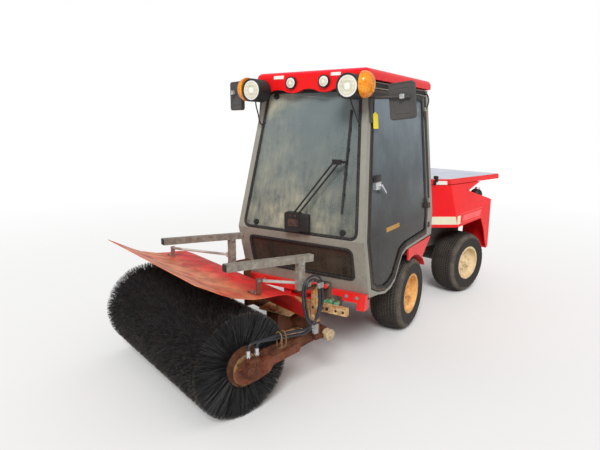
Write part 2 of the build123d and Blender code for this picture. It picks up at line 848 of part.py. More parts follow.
def hood_slot(x, y):
    return Pos(x, y, 690) * (Box(56, 22, 60) + Pos(28, 0, 0) * Cylinder(11, 60) + Pos(-28, 0, 0) * Cylinder(11, 60))


def broom_hood():
    sheet = prism_x(hood_profile(hood_sheet), hood_far, hood_near)
    for x, y in ((rod_near_x - 48, -346), (rod_far_x - 48, -350)):
        sheet = sheet - hood_slot(x, y)
    return sheet


def hood_rods():
    near_top = (rod_near_x, -352, 772)
    far_top = (rod_far_x, -366, 752)
    near = bar_between(9, near_top, (bar_near - 32, -50, 706))
    far = bar_between(9, far_top, (bar_near - bar_spacing - 32, -128, 742))
    sheet = prism_x(hood_profile(hood_sheet + 0.3), hood_far, hood_near)
    posts = []
    for top in (near_top, far_top):
        plate = slab(top[0] - 6, top[0] + 6, top[1] - 14, top[1] + 14, 685, top[2] + 12)
        posts.append(plate - sheet)
    near_lug = slab(bar_near - 40, bar_near - 2, -66, -34, 692.4, 722)
    far_side = bar_near - bar_spacing - bar_size / 2 - 0.4
    far_lug = slab(far_side - 20, far_side, -144, -112, 726, 758)
    return Compound(children=[fused([near, posts[0], near_lug]), fused([far, posts[1], far_lug])])


def gantry():
    bars = []
    for x in (bar_near, bar_near - bar_spacing):
        top = square_between(bar_size, (x, -36, bar_z - 8), (x, -36 - bar_length, bar_z + 34))
        post = slab(x - bar_size / 2, x + bar_size / 2, -142, -100, 692.3, bar_z)
        bars.append(top + post)
    return Compound(children=bars)


def brush_core():
    core = rod_x(brush_core_radius, brush_far + 20, brush_near - 20, -brush_forward, brush_radius)
    shaft = rod_x(20, far_plate_x + 2, arm_plate_x + end_plate - 1, -brush_forward, brush_radius)
    return core + shaft


def brush_bristles():
    outer = rod_x(brush_radius, brush_far, brush_near, -brush_forward, brush_radius)
    return outer - rod_x(brush_core_radius + 0.3, brush_far - 1, brush_near + 1, -brush_forward, brush_radius)


def broom_motor():
    face_x = arm_plate_x + end_plate + 0.3
    axis = (-brush_forward, brush_radius)
    body = rod_x(40, face_x, face_x + 44, axis[0], axis[1])
    head = slab(face_x, face_x + 34, axis[0] - 4, axis[0] + 66, axis[1] + 24, axis[1] + 62)
    ports = []
    for port_y in hose_ports:
        ports.append(rod_z(13, axis[1] + 50, hose_port_z, face_x + 17, port_y))
    return fused([body, head, *ports])


def hose(port_y, lane):
    x = arm_plate_x + end_plate + 17.3
    out = bar_near + bar_size / 2 + hose_radius + 2
    points = [
        (x, port_y, hose_port_z + 0.4),
        (x, port_y, hose_port_z + 70),
        (x + 8, -250, 440 + lane * 24),
        (out, -60, 420 + lane * 24),
        (out, 10 + lane * 22, 560),
        (out, -2 + lane * 22, 700),
    ]
    radii = []
    for index in range(1, len(points) - 1):
        first = Vector(*points[index]) - Vector(*points[index - 1])
        second = Vector(*points[index + 1]) - Vector(*points[index])
        half_turn = math.radians(first.get_angle(second)) / 2
        run = min(first.length, second.length)
        radii.append(0.45 * run / math.tan(half_turn))
    route = FilletPolyline(*points, radius=radii)
    start = Plane(origin=points[0], z_dir=route % 0)
    return sweep(start * Circle(hose_radius), path=route)


def broom_hoses():
    return Compound(children=[hose(hose_ports[0], 1), hose(hose_ports[1], 0)])


def swivel_carrier():
    plates = fused([
        slab(-120, 120, -1215, -960, 430, 446),
        slab(-120, 120, -1215, -960, 284, 300),
        slab(-120, 120, -976, -960, 284, 446),
        slab(-carrier_half, carrier_half, -990, -960, 412, 468),
    ])
    pin = rod_z(25, 270, 470, 0, swivel_y)
    return plates + pin


def lift_arms():
    arms = mirrored(slab(50, 76, -959.7, arm_pivot_y, 400, 446))
    eyes = mirrored(rod_x(30, 50, 76, arm_pivot_y, arm_pivot_z))
    cross = slab(-76, 76, -959.7, -925, 300, 446)
    shaft = rod_x(16, -126, 126, arm_pivot_y, arm_pivot_z)
    lugs = mirrored(slab(24, 34, -930, lift_high[0], lift_high[1] - 22, lift_high[1] + 22))
    lugs = lugs + mirrored(rod_x(22, 24, 34, lift_high[0], lift_high[1]))
    pin = rod_x(10, -34, 34, lift_high[0], lift_high[1])
    return fused([arms, eyes, cross, shaft, lugs, pin])


def cylinder_pair(start, end, across, bore_radius, rod_radius, barrel_length, rod_length):
    line = Line(start, end)
    along = line % 0
    eye_radius = 20
    tube_start = Vector(*start) + along * 26
    tube_end = Vector(*start) + along * barrel_length
    outer = bar_between(bore_radius, tuple(tube_start), tuple(tube_end))
    chamber_start = Vector(*start) + along * 44
    chamber_end = Vector(*start) + along * (barrel_length + 5)
    chamber = bar_between(rod_radius + 1, tuple(chamber_start), tuple(chamber_end))
    side = Vector(*across)
    half_eye = eye_half

    def eye(point):
        a = Vector(*point) - side * half_eye
        b = Vector(*point) + side * half_eye
        return bar_between(eye_radius, tuple(a), tuple(b))

    def eye_bore(point):
        a = Vector(*point) - side * 40
        b = Vector(*point) + side * 40
        return bar_between(11, tuple(a), tuple(b))

    neck = bar_between(12, tuple(Vector(*start) + along * 12), tuple(tube_start + along * 4))
    barrel = outer - chamber + eye(start) + neck - eye_bore(start)
    rod_start = Vector(*end) - along * rod_length
    rod_end = Vector(*end) - along * 12
    rod = bar_between(rod_radius, tuple(rod_start), tuple(rod_end)) + eye(end) - eye_bore(end)
    return barrel, rod


def steer_points():
    turn = math.radians(articulation_deg)
    x, y = steer_rear
    rear_x = x * math.cos(turn) + y * math.sin(turn)
    rear_y = pivot_y - x * math.sin(turn) + y * math.cos(turn)
    return (steer_front[0], steer_front[1], steer_z), (rear_x, rear_y, steer_z)


nodes["front_chassis"] = front_chassis()
nodes["front_axle"] = axle_shape()
nodes["pivot_pin"] = pivot_pin()
nodes["seat_base"] = seat_base()
nodes["seat_cushion"] = seat_cushion()
nodes["seat_back"] = seat_back()
nodes["cab_frame"] = cab_frame()
nodes["cab_floor"] = floor_tub()
nodes["roof"] = roof_shell()
nodes["windshield"] = pane(windshield_z, windshield_side, 46)
nodes["lower_window"] = pane(lower_window_z, lower_window_side, 40)
nodes["rear_window"] = pane(rear_window_z, rear_window_side, 40, 300, 500)
nodes["headlamps"] = headlamps()
nodes["lamp_lenses"] = lamp_lenses()
nodes["indicators"] = indicators()
nodes["mirror_left"] = mirror_left()
nodes["mirror_right"] = mirror_right()
nodes["wiper"] = wiper()
nodes["front_fenders"] = mirrored(front_fenders())
nodes["console"] = console()
nodes["steering_wheel"] = place_wheel(steering_wheel())

for name, side in (("left", 1), ("right", -1)):
    frame, glass, handle = door_parts(side)
    nodes["door_frame_" + name] = frame
    nodes["door_glass_" + name] = glass
    nodes["door_handle_" + name] = handle

for place, y in (("front", 0), ("rear", rear_axle_y)):
    for name, side in (("left", 1), ("right", -1)):
        tyre, rim = wheel(side)
        if place == "rear":
            tyre = rear_place(Pos(0, y, 0) * tyre)
            rim = rear_place(Pos(0, y, 0) * rim)
        nodes[f"tyre_{place}_{name}"] = tyre
        nodes[f"rim_{place}_{name}"] = rim

nodes["rear_chassis"] = rear_place(rear_chassis())
nodes["rear_axle"] = rear_place(Pos(0, rear_axle_y, 0) * axle_shape())
nodes["engine_block"] = rear_place(engine())
nodes["rear_tank"] = rear_place(bonnet_floor())
nodes["rear_body"] = rear_place(rear_body())
nodes["rear_lid"] = rear_place(rear_lid())
nodes["rear_lamps"] = rear_place(rear_lamps())
nodes["filler_cap"] = rear_place(filler())
nodes["tow_hitch"] = rear_place(tow_hitch())

start, end = steer_points()
nodes["steer_barrel"], nodes["steer_rod"] = cylinder_pair(start, end, (0, 0, 1), steer_bore, steer_rod, 300, 330)
start = (0, lift_low[0], lift_low[1])
end = (0, lift_high[0], lift_high[1])
nodes["lift_barrel"], nodes["lift_rod"] = cylinder_pair(start, end, (1, 0, 0), lift_bore, lift_rod, 380, 300)
nodes["lift_arms"] = lift_arms()
nodes["swivel_carrier"] = swivel_carrier()
nodes["broom_frame"] = broom_place(broom_frame())
nodes["broom_hood"] = broom_place(broom_hood())
nodes["hood_rods"] = broom_place(hood_rods())
nodes["bristle_guard"] = broom_place(bristle_guard())
nodes["broom_hoses"] = broom_place(broom_hoses())
nodes["gantry_bars"] = broom_place(gantry())
nodes["brush_core"] = broom_place(brush_core())
nodes["brush_bristles"] = broom_place(brush_bristles())
nodes["broom_motor"] = broom_place(broom_motor())

bounds = Compound(children=[Pos(0, 0, 0) * shape for shape in nodes.values()]).bounding_box()
shift = Pos(-(bounds.min.X + bounds.max.X) / 2, -(bounds.min.Y + bounds.max.Y) / 2, -bounds.min.Z)
print("shift", shift.position)

for name, shape in nodes.items():
    export_step(shift * shape, f"parts/{name}.step")
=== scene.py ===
import math
import random

import bmesh
import bpy
from mathutils import Matrix, Vector


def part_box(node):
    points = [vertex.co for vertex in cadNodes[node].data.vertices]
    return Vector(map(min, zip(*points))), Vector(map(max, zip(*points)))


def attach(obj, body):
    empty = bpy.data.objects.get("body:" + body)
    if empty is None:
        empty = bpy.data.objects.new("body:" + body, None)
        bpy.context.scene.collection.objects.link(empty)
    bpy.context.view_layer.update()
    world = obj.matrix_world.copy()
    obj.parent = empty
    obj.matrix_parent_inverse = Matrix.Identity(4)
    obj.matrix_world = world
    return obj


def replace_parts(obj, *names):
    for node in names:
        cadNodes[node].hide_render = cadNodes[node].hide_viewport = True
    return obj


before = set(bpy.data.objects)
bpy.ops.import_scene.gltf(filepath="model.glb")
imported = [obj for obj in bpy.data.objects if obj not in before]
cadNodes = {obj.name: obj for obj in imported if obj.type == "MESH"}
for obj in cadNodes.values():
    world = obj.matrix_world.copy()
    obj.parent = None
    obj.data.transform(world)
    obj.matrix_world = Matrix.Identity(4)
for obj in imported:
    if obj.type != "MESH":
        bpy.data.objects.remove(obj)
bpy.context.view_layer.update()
print("stage: frame loaded")

wheels = {"radius": 0.297, "halfTrack": 0.369, "frontY": 0.0, "rearY": 0.596}

# the working origin lies on the floor under the middle of the front axle
axleLow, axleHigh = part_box("front_axle")
origin = (axleLow + axleHigh) / 2 - Vector((0, 0, wheels["radius"]))

units = {
    "front": {"pivot": (0, 0, 0), "turn": 0},
    "rear": {"pivot": (0, 0.75, 0), "turn": -17.4},
    "broom": {"pivot": (0, -1.15, 0), "turn": -18.0},
}


def unitMatrix(unit):
    place = units[unit]
    turn = Matrix.Rotation(math.radians(place["turn"]), 4, "Z")
    return Matrix.Translation(origin + Vector(place["pivot"])) @ turn


# small helpers for node materials

def addNode(mat, kind, inputs=None, **settings):
    node = mat.node_tree.nodes.new(kind)
    for key, value in settings.items():
        setattr(node, key, value)
    for key, value in (inputs or {}).items():
        if isinstance(value, bpy.types.NodeSocket):
            mat.node_tree.links.new(value, node.inputs[key])
        else:
            node.inputs[key].default_value = value
    return node


def startMaterial(name):
    mat = bpy.data.materials.new(name)
    mat.use_nodes = True
    mat.node_tree.nodes.clear()
    return mat


def rgba(colour):
    return (colour[0], colour[1], colour[2], 1)


def noise(mat, vector, scale, detail=4, rough=0.55):
    inputs = {"Vector": vector, "Scale": scale, "Detail": detail, "Roughness": rough}
    return addNode(mat, "ShaderNodeTexNoise", inputs).outputs["Fac"]


def ramp(mat, value, low, high):
    inputs = {"Value": value, "From Min": low, "From Max": high}
    return addNode(mat, "ShaderNodeMapRange", inputs, clamp=True).outputs["Result"]


def mathNode(mat, operation, a, b=0.0):
    return addNode(mat, "ShaderNodeMath", {0: a, 1: b}, operation=operation).outputs[0]


def times(mat, first, *others):
    for other in others:
        first = mathNode(mat, "MULTIPLY", first, other)
    return first


def plus(mat, a, b):
    return mathNode(mat, "ADD", a, b)


def minus(mat, a, b):
    return mathNode(mat, "SUBTRACT", a, b)


def larger(mat, a, b):
    return mathNode(mat, "MAXIMUM", a, b)


def mixColour(mat, factor, a, b):
    made = addNode(mat, "ShaderNodeMix", {0: factor}, data_type="RGBA", blend_type="MIX")
    for socket, value in ((made.inputs[6], a), (made.inputs[7], b)):
        if isinstance(value, bpy.types.NodeSocket):
            mat.node_tree.links.new(value, socket)
        else:
            socket.default_value = rgba(value)
    return made.outputs[2]


def objectPoint(mat, unit="front"):
    coordinate = addNode(mat, "ShaderNodeTexCoord").outputs["Object"]
    back = unitMatrix(unit).inverted()
    inputs = {"Vector": coordinate, "Location": back.to_translation(), "Rotation": back.to_euler()}
    return addNode(mat, "ShaderNodeMapping", inputs).outputs["Vector"]


def axisValue(mat, vector, axis):
    return addNode(mat, "ShaderNodeSeparateXYZ", {"Vector": vector}).outputs[axis]


def vectorNode(mat, operation, a, b):
    return addNode(mat, "ShaderNodeVectorMath", {0: a, 1: b}, operation=operation).outputs[0]


def vectorLength(mat, vector):
    return addNode(mat, "ShaderNodeVectorMath", {0: vector}, operation="LENGTH").outputs["Value"]


def streakNoise(mat, point, scale, low, high, rough=0.55):
    long = addNode(mat, "ShaderNodeMapping", {"Vector": point, "Scale": scale}).outputs["Vector"]
    return ramp(mat, noise(mat, long, 1.0, 5, rough), low, high)


def bumpNormal(mat, height, strength, distance=0.002, normal=None):
    inputs = {"Height": height, "Strength": strength, "Distance": distance}
    if normal is not None:
        inputs["Normal"] = normal
    return addNode(mat, "ShaderNodeBump", inputs).outputs["Normal"]


def finishMaterial(mat, colour, roughness, metallic=0.0, normal=None, alpha=None, **sockets):
    inputs = {"Base Color": colour, "Roughness": roughness, "Metallic": metallic}
    if normal is not None:
        inputs["Normal"] = normal
    if alpha is not None:
        inputs["Alpha"] = alpha
    shader = addNode(mat, "ShaderNodeBsdfPrincipled", inputs)
    for key, value in sockets.items():
        shader.inputs[key.replace("_", " ")].default_value = value
    addNode(mat, "ShaderNodeOutputMaterial", {"Surface": shader.outputs[0]})
    return mat


# painted sheet and castings: faded patches, dust, worn edges and rust spots; on the roof the blend along one
# axis is a painted sky reflection along its top
paintDefaults = {
    "unit": "front", "patchScale": 3.5, "grainScale": 34, "mottle": 0.25, "dust": 0.6, "dustAll": 0.12,
    "dustTop": 0.9, "dustLow": 0.3, "dustColour": (0.36, 0.31, 0.25), "edgeWear": 0.6, "edgeLow": 0.53,
    "edgeHigh": 0.6, "rust": 0.5, "rustScale": 11, "rustLow": 0.66, "rustHigh": 0.74,
    "rustColour": (0.2, 0.075, 0.03), "rough": 0.4, "bump": 0.08, "spec": 0.28}


def paintedMetal(name, look):
    look = {**paintDefaults, **look}
    mat = startMaterial(name)
    point = objectPoint(mat, look["unit"])
    broad = noise(mat, point, look["patchScale"], 3)
    fine = noise(mat, point, look["grainScale"], 6, 0.65)
    fade = ramp(mat, broad, 0.35, 0.7)
    # blend along one axis: real fading on the hood, rust on the stay rods, and a painted sky reflection on
    # the roof's top
    if "fadeAndSheenAxis" in look:
        reach = ramp(mat, axisValue(mat, point, look["fadeAndSheenAxis"]), look["fadeAndSheenStart"], look["fadeAndSheenEnd"])
        fade = times(mat, reach, ramp(mat, broad, 0.25, 0.5))
    colour = mixColour(mat, fade, look["colour"], look["faded"])
    colour = mixColour(mat, times(mat, ramp(mat, fine, 0.42, 0.75), look["mottle"]), colour, look["dark"])
    # dust gathers low down and in streaks
    low = ramp(mat, axisValue(mat, point, 2), look["dustTop"], look["dustLow"])
    streaks = streakNoise(mat, point, (14, 14, 1.6), 0.4, 0.72)
    dust = times(mat, plus(mat, low, look["dustAll"]), streaks, look["dust"])
    colour = mixColour(mat, dust, colour, look["dustColour"])
    # bare edges and rust spots
    edge = addNode(mat, "ShaderNodeNewGeometry").outputs["Pointiness"]
    worn = ramp(mat, edge, look["edgeLow"], look["edgeHigh"])
    worn = times(mat, worn, ramp(mat, fine, 0.38, 0.62), look["edgeWear"])
    spot = ramp(mat, noise(mat, point, look["rustScale"], 8, 0.7), look["rustLow"], look["rustHigh"])
    rust = larger(mat, worn, times(mat, spot, look["rust"]))
    colour = mixColour(mat, rust, colour, look["rustColour"])
    rough = plus(mat, look["rough"], times(mat, larger(mat, dust, rust), 0.35))
    normal = bumpNormal(mat, fine, look["bump"], 0.001)
    normal = bumpNormal(mat, rust, 0.25, 0.0012, normal)
    return finishMaterial(mat, colour, rough, 0.0, normal, Specular_IOR_Level=look["spec"])


# plastics, rubber, vinyl, plated steel and labels
plainDefaults = {
    "unit": "front", "patchScale": 5, "grainScale": 60, "mottle": 0.3, "dust": (0.36, 0.31, 0.25),
    "rough": 0.5, "roughSpread": 0.15, "bump": 0.15, "bumpDepth": 0.001, "metal": 0.0, "spec": 0.3}


def barePlain(name, look):
    look = {**plainDefaults, **look}
    mat = startMaterial(name)
    point = objectPoint(mat, look["unit"])
    fine = noise(mat, point, look["grainScale"], 6, 0.6)
    broad = noise(mat, point, look["patchScale"], 3)
    colour = mixColour(mat, ramp(mat, broad, 0.35, 0.7), look["colour"], look["second"])
    colour = mixColour(mat, times(mat, ramp(mat, fine, 0.45, 0.75), look["mottle"]), colour, look["dust"])
    rough = plus(mat, look["rough"], times(mat, fine, look["roughSpread"]))
    normal = bumpNormal(mat, fine, look["bump"], look["bumpDepth"])
    return finishMaterial(mat, colour, rough, look["metal"], normal, Specular_IOR_Level=look["spec"])


# dusty panes with a wiped sector where a wiper runs; painted shade darkens them below and a painted
# reflection lightens them above
glassDefaults = {"unit": "front", "cloudScale": 1.6, "rough": 0.06, "ior": 1.45, "wipeNear": 0.02,
                 "wipeFull": 0.34, "wipeFade": 0.7, "wipeEnd": 0.8, "wipeClean": 0.7}


def dustyGlass(name, look):
    look = {**glassDefaults, **look}
    mat = startMaterial(name)
    point = objectPoint(mat, look["unit"])
    height = axisValue(mat, point, 2)
    level = plus(mat, height, times(mat, noise(mat, point, look["cloudScale"], 3), look["cloud"]))
    # painted shade low down blends into a painted reflection higher up
    colour = mixColour(mat, ramp(mat, level, look["shadeZ"], look["reflectionZ"]), look["colour"], look["light"])
    streaks = streakNoise(mat, point, (30, 30, 3.2), 0.36, 0.72, 0.6)
    patches = ramp(mat, noise(mat, point, 6.5, 5, 0.6), 0.36, 0.66)
    film = plus(mat, times(mat, streaks, 0.4), times(mat, patches, 0.5))
    reach = plus(mat, 0.1, ramp(mat, height, look["filmTop"], look["filmLow"]))
    if "side" in look:
        reach = plus(mat, reach, ramp(mat, axisValue(mat, point, 0), 0.0, look["side"]))
    film = times(mat, film, reach)
    if "wipeCentre" in look:
        far = vectorLength(mat, vectorNode(mat, "SUBTRACT", point, look["wipeCentre"]))
        wiped = times(mat, ramp(mat, far, look["wipeNear"], look["wipeFull"]),
                      ramp(mat, far, look["wipeEnd"], look["wipeFade"]))
        film = times(mat, film, minus(mat, 1.0, times(mat, wiped, look["wipeClean"])))
    colour = mixColour(mat, film, colour, look["film"])
    alpha = plus(mat, look["clear"], times(mat, film, look["filmAlpha"]))
    rough = plus(mat, look["rough"], times(mat, film, 0.3))
    return finishMaterial(mat, colour, rough, 0.0, None, alpha, IOR=look["ior"])


# the finishes of this machine; each row overrides the defaults above
paintLooks = {
    "redPaint": {"colour": (0.86, 0.002, 0.006), "faded": (0.92, 0.008, 0.014), "dark": (0.5, 0.003, 0.008),
        "rough": 0.3, "dust": 0.22, "dustAll": 0.05, "dustTop": 0.8, "rust": 0.12, "rustLow": 0.72,
        "edgeWear": 0.25, "mottle": 0.15},
    # the pinker colour over the roof's top edge is a painted sky reflection
    "roofPaint": {"colour": (0.84, 0.002, 0.005), "faded": (0.8, 0.02, 0.055), "dark": (0.6, 0.004, 0.014),
        "rough": 0.3, "fadeAndSheenAxis": 2, "fadeAndSheenStart": 1.957, "fadeAndSheenEnd": 1.966, "dust": 0.04, "dustAll": 0.3,
        "rust": 0.0, "edgeWear": 0.1, "mottle": 0.12},
    "hoodPaint": {"unit": "broom", "colour": (0.8, 0.005, 0.007), "faded": (0.84, 0.28, 0.12),
        "dark": (0.36, 0.09, 0.06), "rough": 0.38, "fadeAndSheenAxis": 1, "fadeAndSheenStart": -0.3, "fadeAndSheenEnd": -0.44,
        "patchScale": 6, "grainScale": 9, "dust": 0.25, "dustTop": 0.5, "rust": 0.55, "rustLow": 0.64,
        "rustHigh": 0.7, "rustScale": 8, "rustColour": (0.24, 0.05, 0.03), "edgeWear": 0.4, "mottle": 0.45},
    "greyPaint": {"colour": (0.27, 0.265, 0.225), "faded": (0.33, 0.32, 0.27), "dark": (0.17, 0.17, 0.15),
        "rough": 0.45, "dust": 0.25, "dustAll": 0.2, "dustTop": 1.2, "dustColour": (0.19, 0.185, 0.15),
        "rust": 0.1, "rustLow": 0.74, "edgeWear": 0.15, "mottle": 0.15},
    "darkSteel": {"colour": (0.02, 0.02, 0.022), "faded": (0.04, 0.038, 0.036), "dark": (0.01, 0.01, 0.01),
        "rough": 0.5, "dust": 0.5, "dustAll": 0.1, "rust": 0.35, "rustLow": 0.64, "edgeWear": 0.45},
    "rustySteel": {"unit": "broom", "colour": (0.095, 0.027, 0.011), "faded": (0.17, 0.052, 0.018),
        "dark": (0.035, 0.016, 0.011), "rough": 0.72, "dust": 0.2, "dustColour": (0.2, 0.12, 0.07),
        "rust": 0.8, "rustLow": 0.5, "rustHigh": 0.6, "rustColour": (0.05, 0.016, 0.008), "edgeWear": 0.5,
        "mottle": 0.7, "bump": 0.35, "patchScale": 9},
    "carrierPaint": {"unit": "broom", "colour": (0.6, 0.27, 0.075), "faded": (0.8, 0.56, 0.28),
        "dark": (0.22, 0.085, 0.03), "rough": 0.65, "dust": 0.4, "rust": 0.9, "rustLow": 0.55,
        "rustHigh": 0.63, "rustColour": (0.16, 0.05, 0.018), "mottle": 0.6, "bump": 0.3, "patchScale": 12},
    "carrierLight": {"colour": (0.72, 0.5, 0.22), "faded": (0.8, 0.66, 0.4), "dark": (0.36, 0.15, 0.05),
        "rough": 0.6, "dust": 0.2, "rust": 0.8, "rustLow": 0.58, "rustHigh": 0.66, "rustScale": 22,
        "rustColour": (0.26, 0.08, 0.02), "mottle": 0.5},
    "carrierCap": {"unit": "broom", "colour": (0.46, 0.34, 0.19), "faded": (0.6, 0.48, 0.31),
        "dark": (0.2, 0.12, 0.06), "rough": 0.65, "dust": 0.3, "rustLow": 0.5, "rustHigh": 0.72,
        "rustScale": 26, "rustColour": (0.19, 0.075, 0.03), "edgeWear": 0.5, "mottle": 0.6, "patchScale": 18},
    "armPaint": {"unit": "broom", "colour": (0.135, 0.03, 0.012), "faded": (0.2, 0.05, 0.018),
        "dark": (0.05, 0.018, 0.01), "rough": 0.6, "dust": 0.1, "rustLow": 0.56, "rustHigh": 0.66,
        "rustColour": (0.06, 0.018, 0.008), "edgeWear": 0.3, "mottle": 0.5, "bump": 0.2, "patchScale": 14},
    "hubDirt": {"unit": "broom", "colour": (0.22, 0.12, 0.045), "faded": (0.32, 0.2, 0.08),
        "dark": (0.09, 0.035, 0.015), "rough": 0.75, "dust": 0.1, "rust": 0.7, "rustLow": 0.5,
        "rustHigh": 0.62, "rustColour": (0.08, 0.025, 0.01), "mottle": 0.7, "bump": 0.3, "patchScale": 18},
    "barPaint": {"unit": "broom", "colour": (0.25, 0.23, 0.2), "faded": (0.33, 0.3, 0.25),
        "dark": (0.16, 0.135, 0.11), "rough": 0.55, "dust": 0.1, "rust": 0.35, "rustLow": 0.62,
        "rustHigh": 0.78, "rustScale": 14, "rustColour": (0.12, 0.07, 0.045), "edgeWear": 0.5, "mottle": 0.35,
        "patchScale": 8},
    "rodSteel": {"unit": "broom", "colour": (0.52, 0.5, 0.46), "faded": (0.17, 0.03, 0.018),
        "dark": (0.22, 0.18, 0.15), "rough": 0.5, "dust": 0.05, "fadeAndSheenAxis": 1, "fadeAndSheenStart": -0.325,
        "fadeAndSheenEnd": -0.335, "rust": 0.4, "rustLow": 0.62, "mottle": 0.35, "edgeWear": 0.3},
    "slotRust": {"unit": "broom", "colour": (0.045, 0.014, 0.01), "faded": (0.11, 0.025, 0.016),
        "dark": (0.02, 0.01, 0.008), "rough": 0.7, "dust": 0.0, "patchScale": 20},
    "creamPaint": {"colour": (0.72, 0.54, 0.3), "faded": (0.82, 0.68, 0.46), "dark": (0.45, 0.25, 0.09),
        "rough": 0.45, "dust": 0.2, "dustTop": 0.5, "rustLow": 0.64, "rustHigh": 0.7, "rustScale": 16,
        "edgeWear": 0.4, "mottle": 0.3},
    "frontRimPaint": {"colour": (0.8, 0.4, 0.1), "faded": (0.84, 0.54, 0.22), "dark": (0.45, 0.17, 0.04),
        "rough": 0.5, "dust": 0.15, "dustTop": 0.5, "rust": 0.8, "rustLow": 0.57, "rustHigh": 0.65,
        "rustScale": 14, "rustColour": (0.3, 0.1, 0.03), "mottle": 0.4},
}
paintLooks["rearPaint"] = {**paintLooks["redPaint"], "unit": "rear"}
plainLooks = {
    "hoseRubber": {"unit": "broom", "colour": (0.01, 0.012, 0.017), "second": (0.018, 0.02, 0.026),
        "rough": 0.34, "mottle": 0.12, "bump": 0.1, "spec": 0.5, "grainScale": 90, "dust": (0.1, 0.09, 0.08)},
    "zincSteel": {"unit": "broom", "colour": (0.24, 0.235, 0.225), "second": (0.36, 0.35, 0.33),
        "mottle": 0.4, "rough": 0.42, "metal": 0.4, "patchScale": 14, "grainScale": 90},
    "silverSteel": {"colour": (0.55, 0.56, 0.58), "second": (0.66, 0.67, 0.68), "mottle": 0.12, "rough": 0.3,
        "metal": 0.7},
    "blackPlastic": {"colour": (0.012, 0.012, 0.013), "second": (0.022, 0.022, 0.023), "rough": 0.42,
        "mottle": 0.06, "bump": 0.2, "grainScale": 260},
    "rubber": {"colour": (0.013, 0.013, 0.014), "second": (0.026, 0.025, 0.024), "rough": 0.6, "mottle": 0.16,
        "bump": 0.2, "grainScale": 120},
    "seatVinyl": {"colour": (0.016, 0.016, 0.018), "second": (0.025, 0.025, 0.027), "mottle": 0.1,
        "bump": 0.35, "grainScale": 420},
    "castBlock": {"colour": (0.1, 0.1, 0.1), "second": (0.14, 0.13, 0.12), "rough": 0.7, "mottle": 0.4},
    # the amber lens's mottle paints facet glints with its second tone, and its dust slot holds a darker
    # amber, not dust
    "amberLens": {"colour": (0.9, 0.24, 0.005), "second": (0.96, 0.4, 0.015), "rough": 0.1, "mottle": 0.8,
        "bump": 0.35, "spec": 0.55, "dust": (0.46, 0.075, 0.002), "patchScale": 16, "grainScale": 75,
        "roughSpread": 0.08, "bumpDepth": 0.002},
    "whiteVinyl": {"colour": (0.8, 0.8, 0.74), "second": (0.86, 0.86, 0.8), "rough": 0.45, "mottle": 0.12,
        "dust": (0.5, 0.46, 0.38)},
    "creamStripe": {"unit": "rear", "colour": (0.78, 0.72, 0.5), "second": (0.86, 0.82, 0.62), "rough": 0.4,
        "mottle": 0.15, "dust": (0.5, 0.42, 0.3)},
    "lidTop": {"unit": "rear", "colour": (0.56, 0.6, 0.7), "second": (0.68, 0.7, 0.78), "rough": 0.42,
        "dust": (0.42, 0.42, 0.44)},
    "yellowTag": {"colour": (0.9, 0.7, 0.02), "second": (0.92, 0.74, 0.03), "rough": 0.4, "mottle": 0.03},
    "sticker": {"colour": (0.42, 0.2, 0.02), "second": (0.52, 0.27, 0.03), "rough": 0.35, "mottle": 0.25},
    "mirrorShell": {"colour": (0.06, 0.058, 0.058), "second": (0.075, 0.072, 0.07), "rough": 0.55,
        "mottle": 0.15, "bump": 0.3, "grainScale": 320},
    "fadedBand": {"unit": "rear", "colour": (0.86, 0.1, 0.1), "second": (0.88, 0.17, 0.16), "rough": 0.42,
        "mottle": 0.4, "dust": (0.75, 0.03, 0.04)},
    "mirrorGlass": {"colour": (0.8, 0.82, 0.84), "second": (0.76, 0.78, 0.8), "rough": 0.03,
        "roughSpread": 0.05, "mottle": 0.05, "metal": 1.0, "bump": 0.0},
    "greenCap": {"colour": (0.05, 0.3, 0.13), "second": (0.1, 0.42, 0.22), "rough": 0.4},
    "brass": {"colour": (0.45, 0.48, 0.3), "second": (0.3, 0.42, 0.3), "rough": 0.35, "metal": 0.7},
}
# in these panes colour is a painted shade tone for low down and the upper tone a painted reflection for
# higher up
glassLooks = {
    "paneGlass": {"colour": (0.085, 0.088, 0.07), "light": (0.21, 0.265, 0.275), "shadeZ": 0.9, "reflectionZ": 1.9,
        "cloud": 0.5, "film": (0.66, 0.61, 0.42), "clear": 0.6, "filmAlpha": 0.4, "filmTop": 1.72,
        "filmLow": 0.95, "side": -0.34, "wipeCentre": (0.01, -0.93, 1.04)},
    "doorGlass": {"colour": (0.016, 0.013, 0.011), "light": (0.2, 0.25, 0.28), "shadeZ": 1.25, "reflectionZ": 2.0,
        "cloud": 0.7, "cloudScale": 2.4, "ior": 1.22, "film": (0.045, 0.043, 0.04), "clear": 0.9,
        "filmAlpha": 0.08, "filmTop": 1.9, "filmLow": 0.6},
    "darkGlass": {"colour": (0.012, 0.01, 0.008), "light": (0.06, 0.047, 0.035), "shadeZ": 0.6, "reflectionZ": 1.2,
        "cloud": 0.4, "film": (0.11, 0.09, 0.07), "clear": 0.88, "filmAlpha": 0.15, "filmTop": 0.9,
        "filmLow": 0.6},
}

treadLook = {"colour": (0.024, 0.021, 0.019), "dust": (0.115, 0.095, 0.074), "grainScale": 150,
             "patchScale": 9, "speckle": 0.3, "rough": 0.72, "crown": 1.22, "dustOut": 0.2965,
             "dustFull": 0.2915, "sideDust": 0.276, "sideEnd": 0.262}


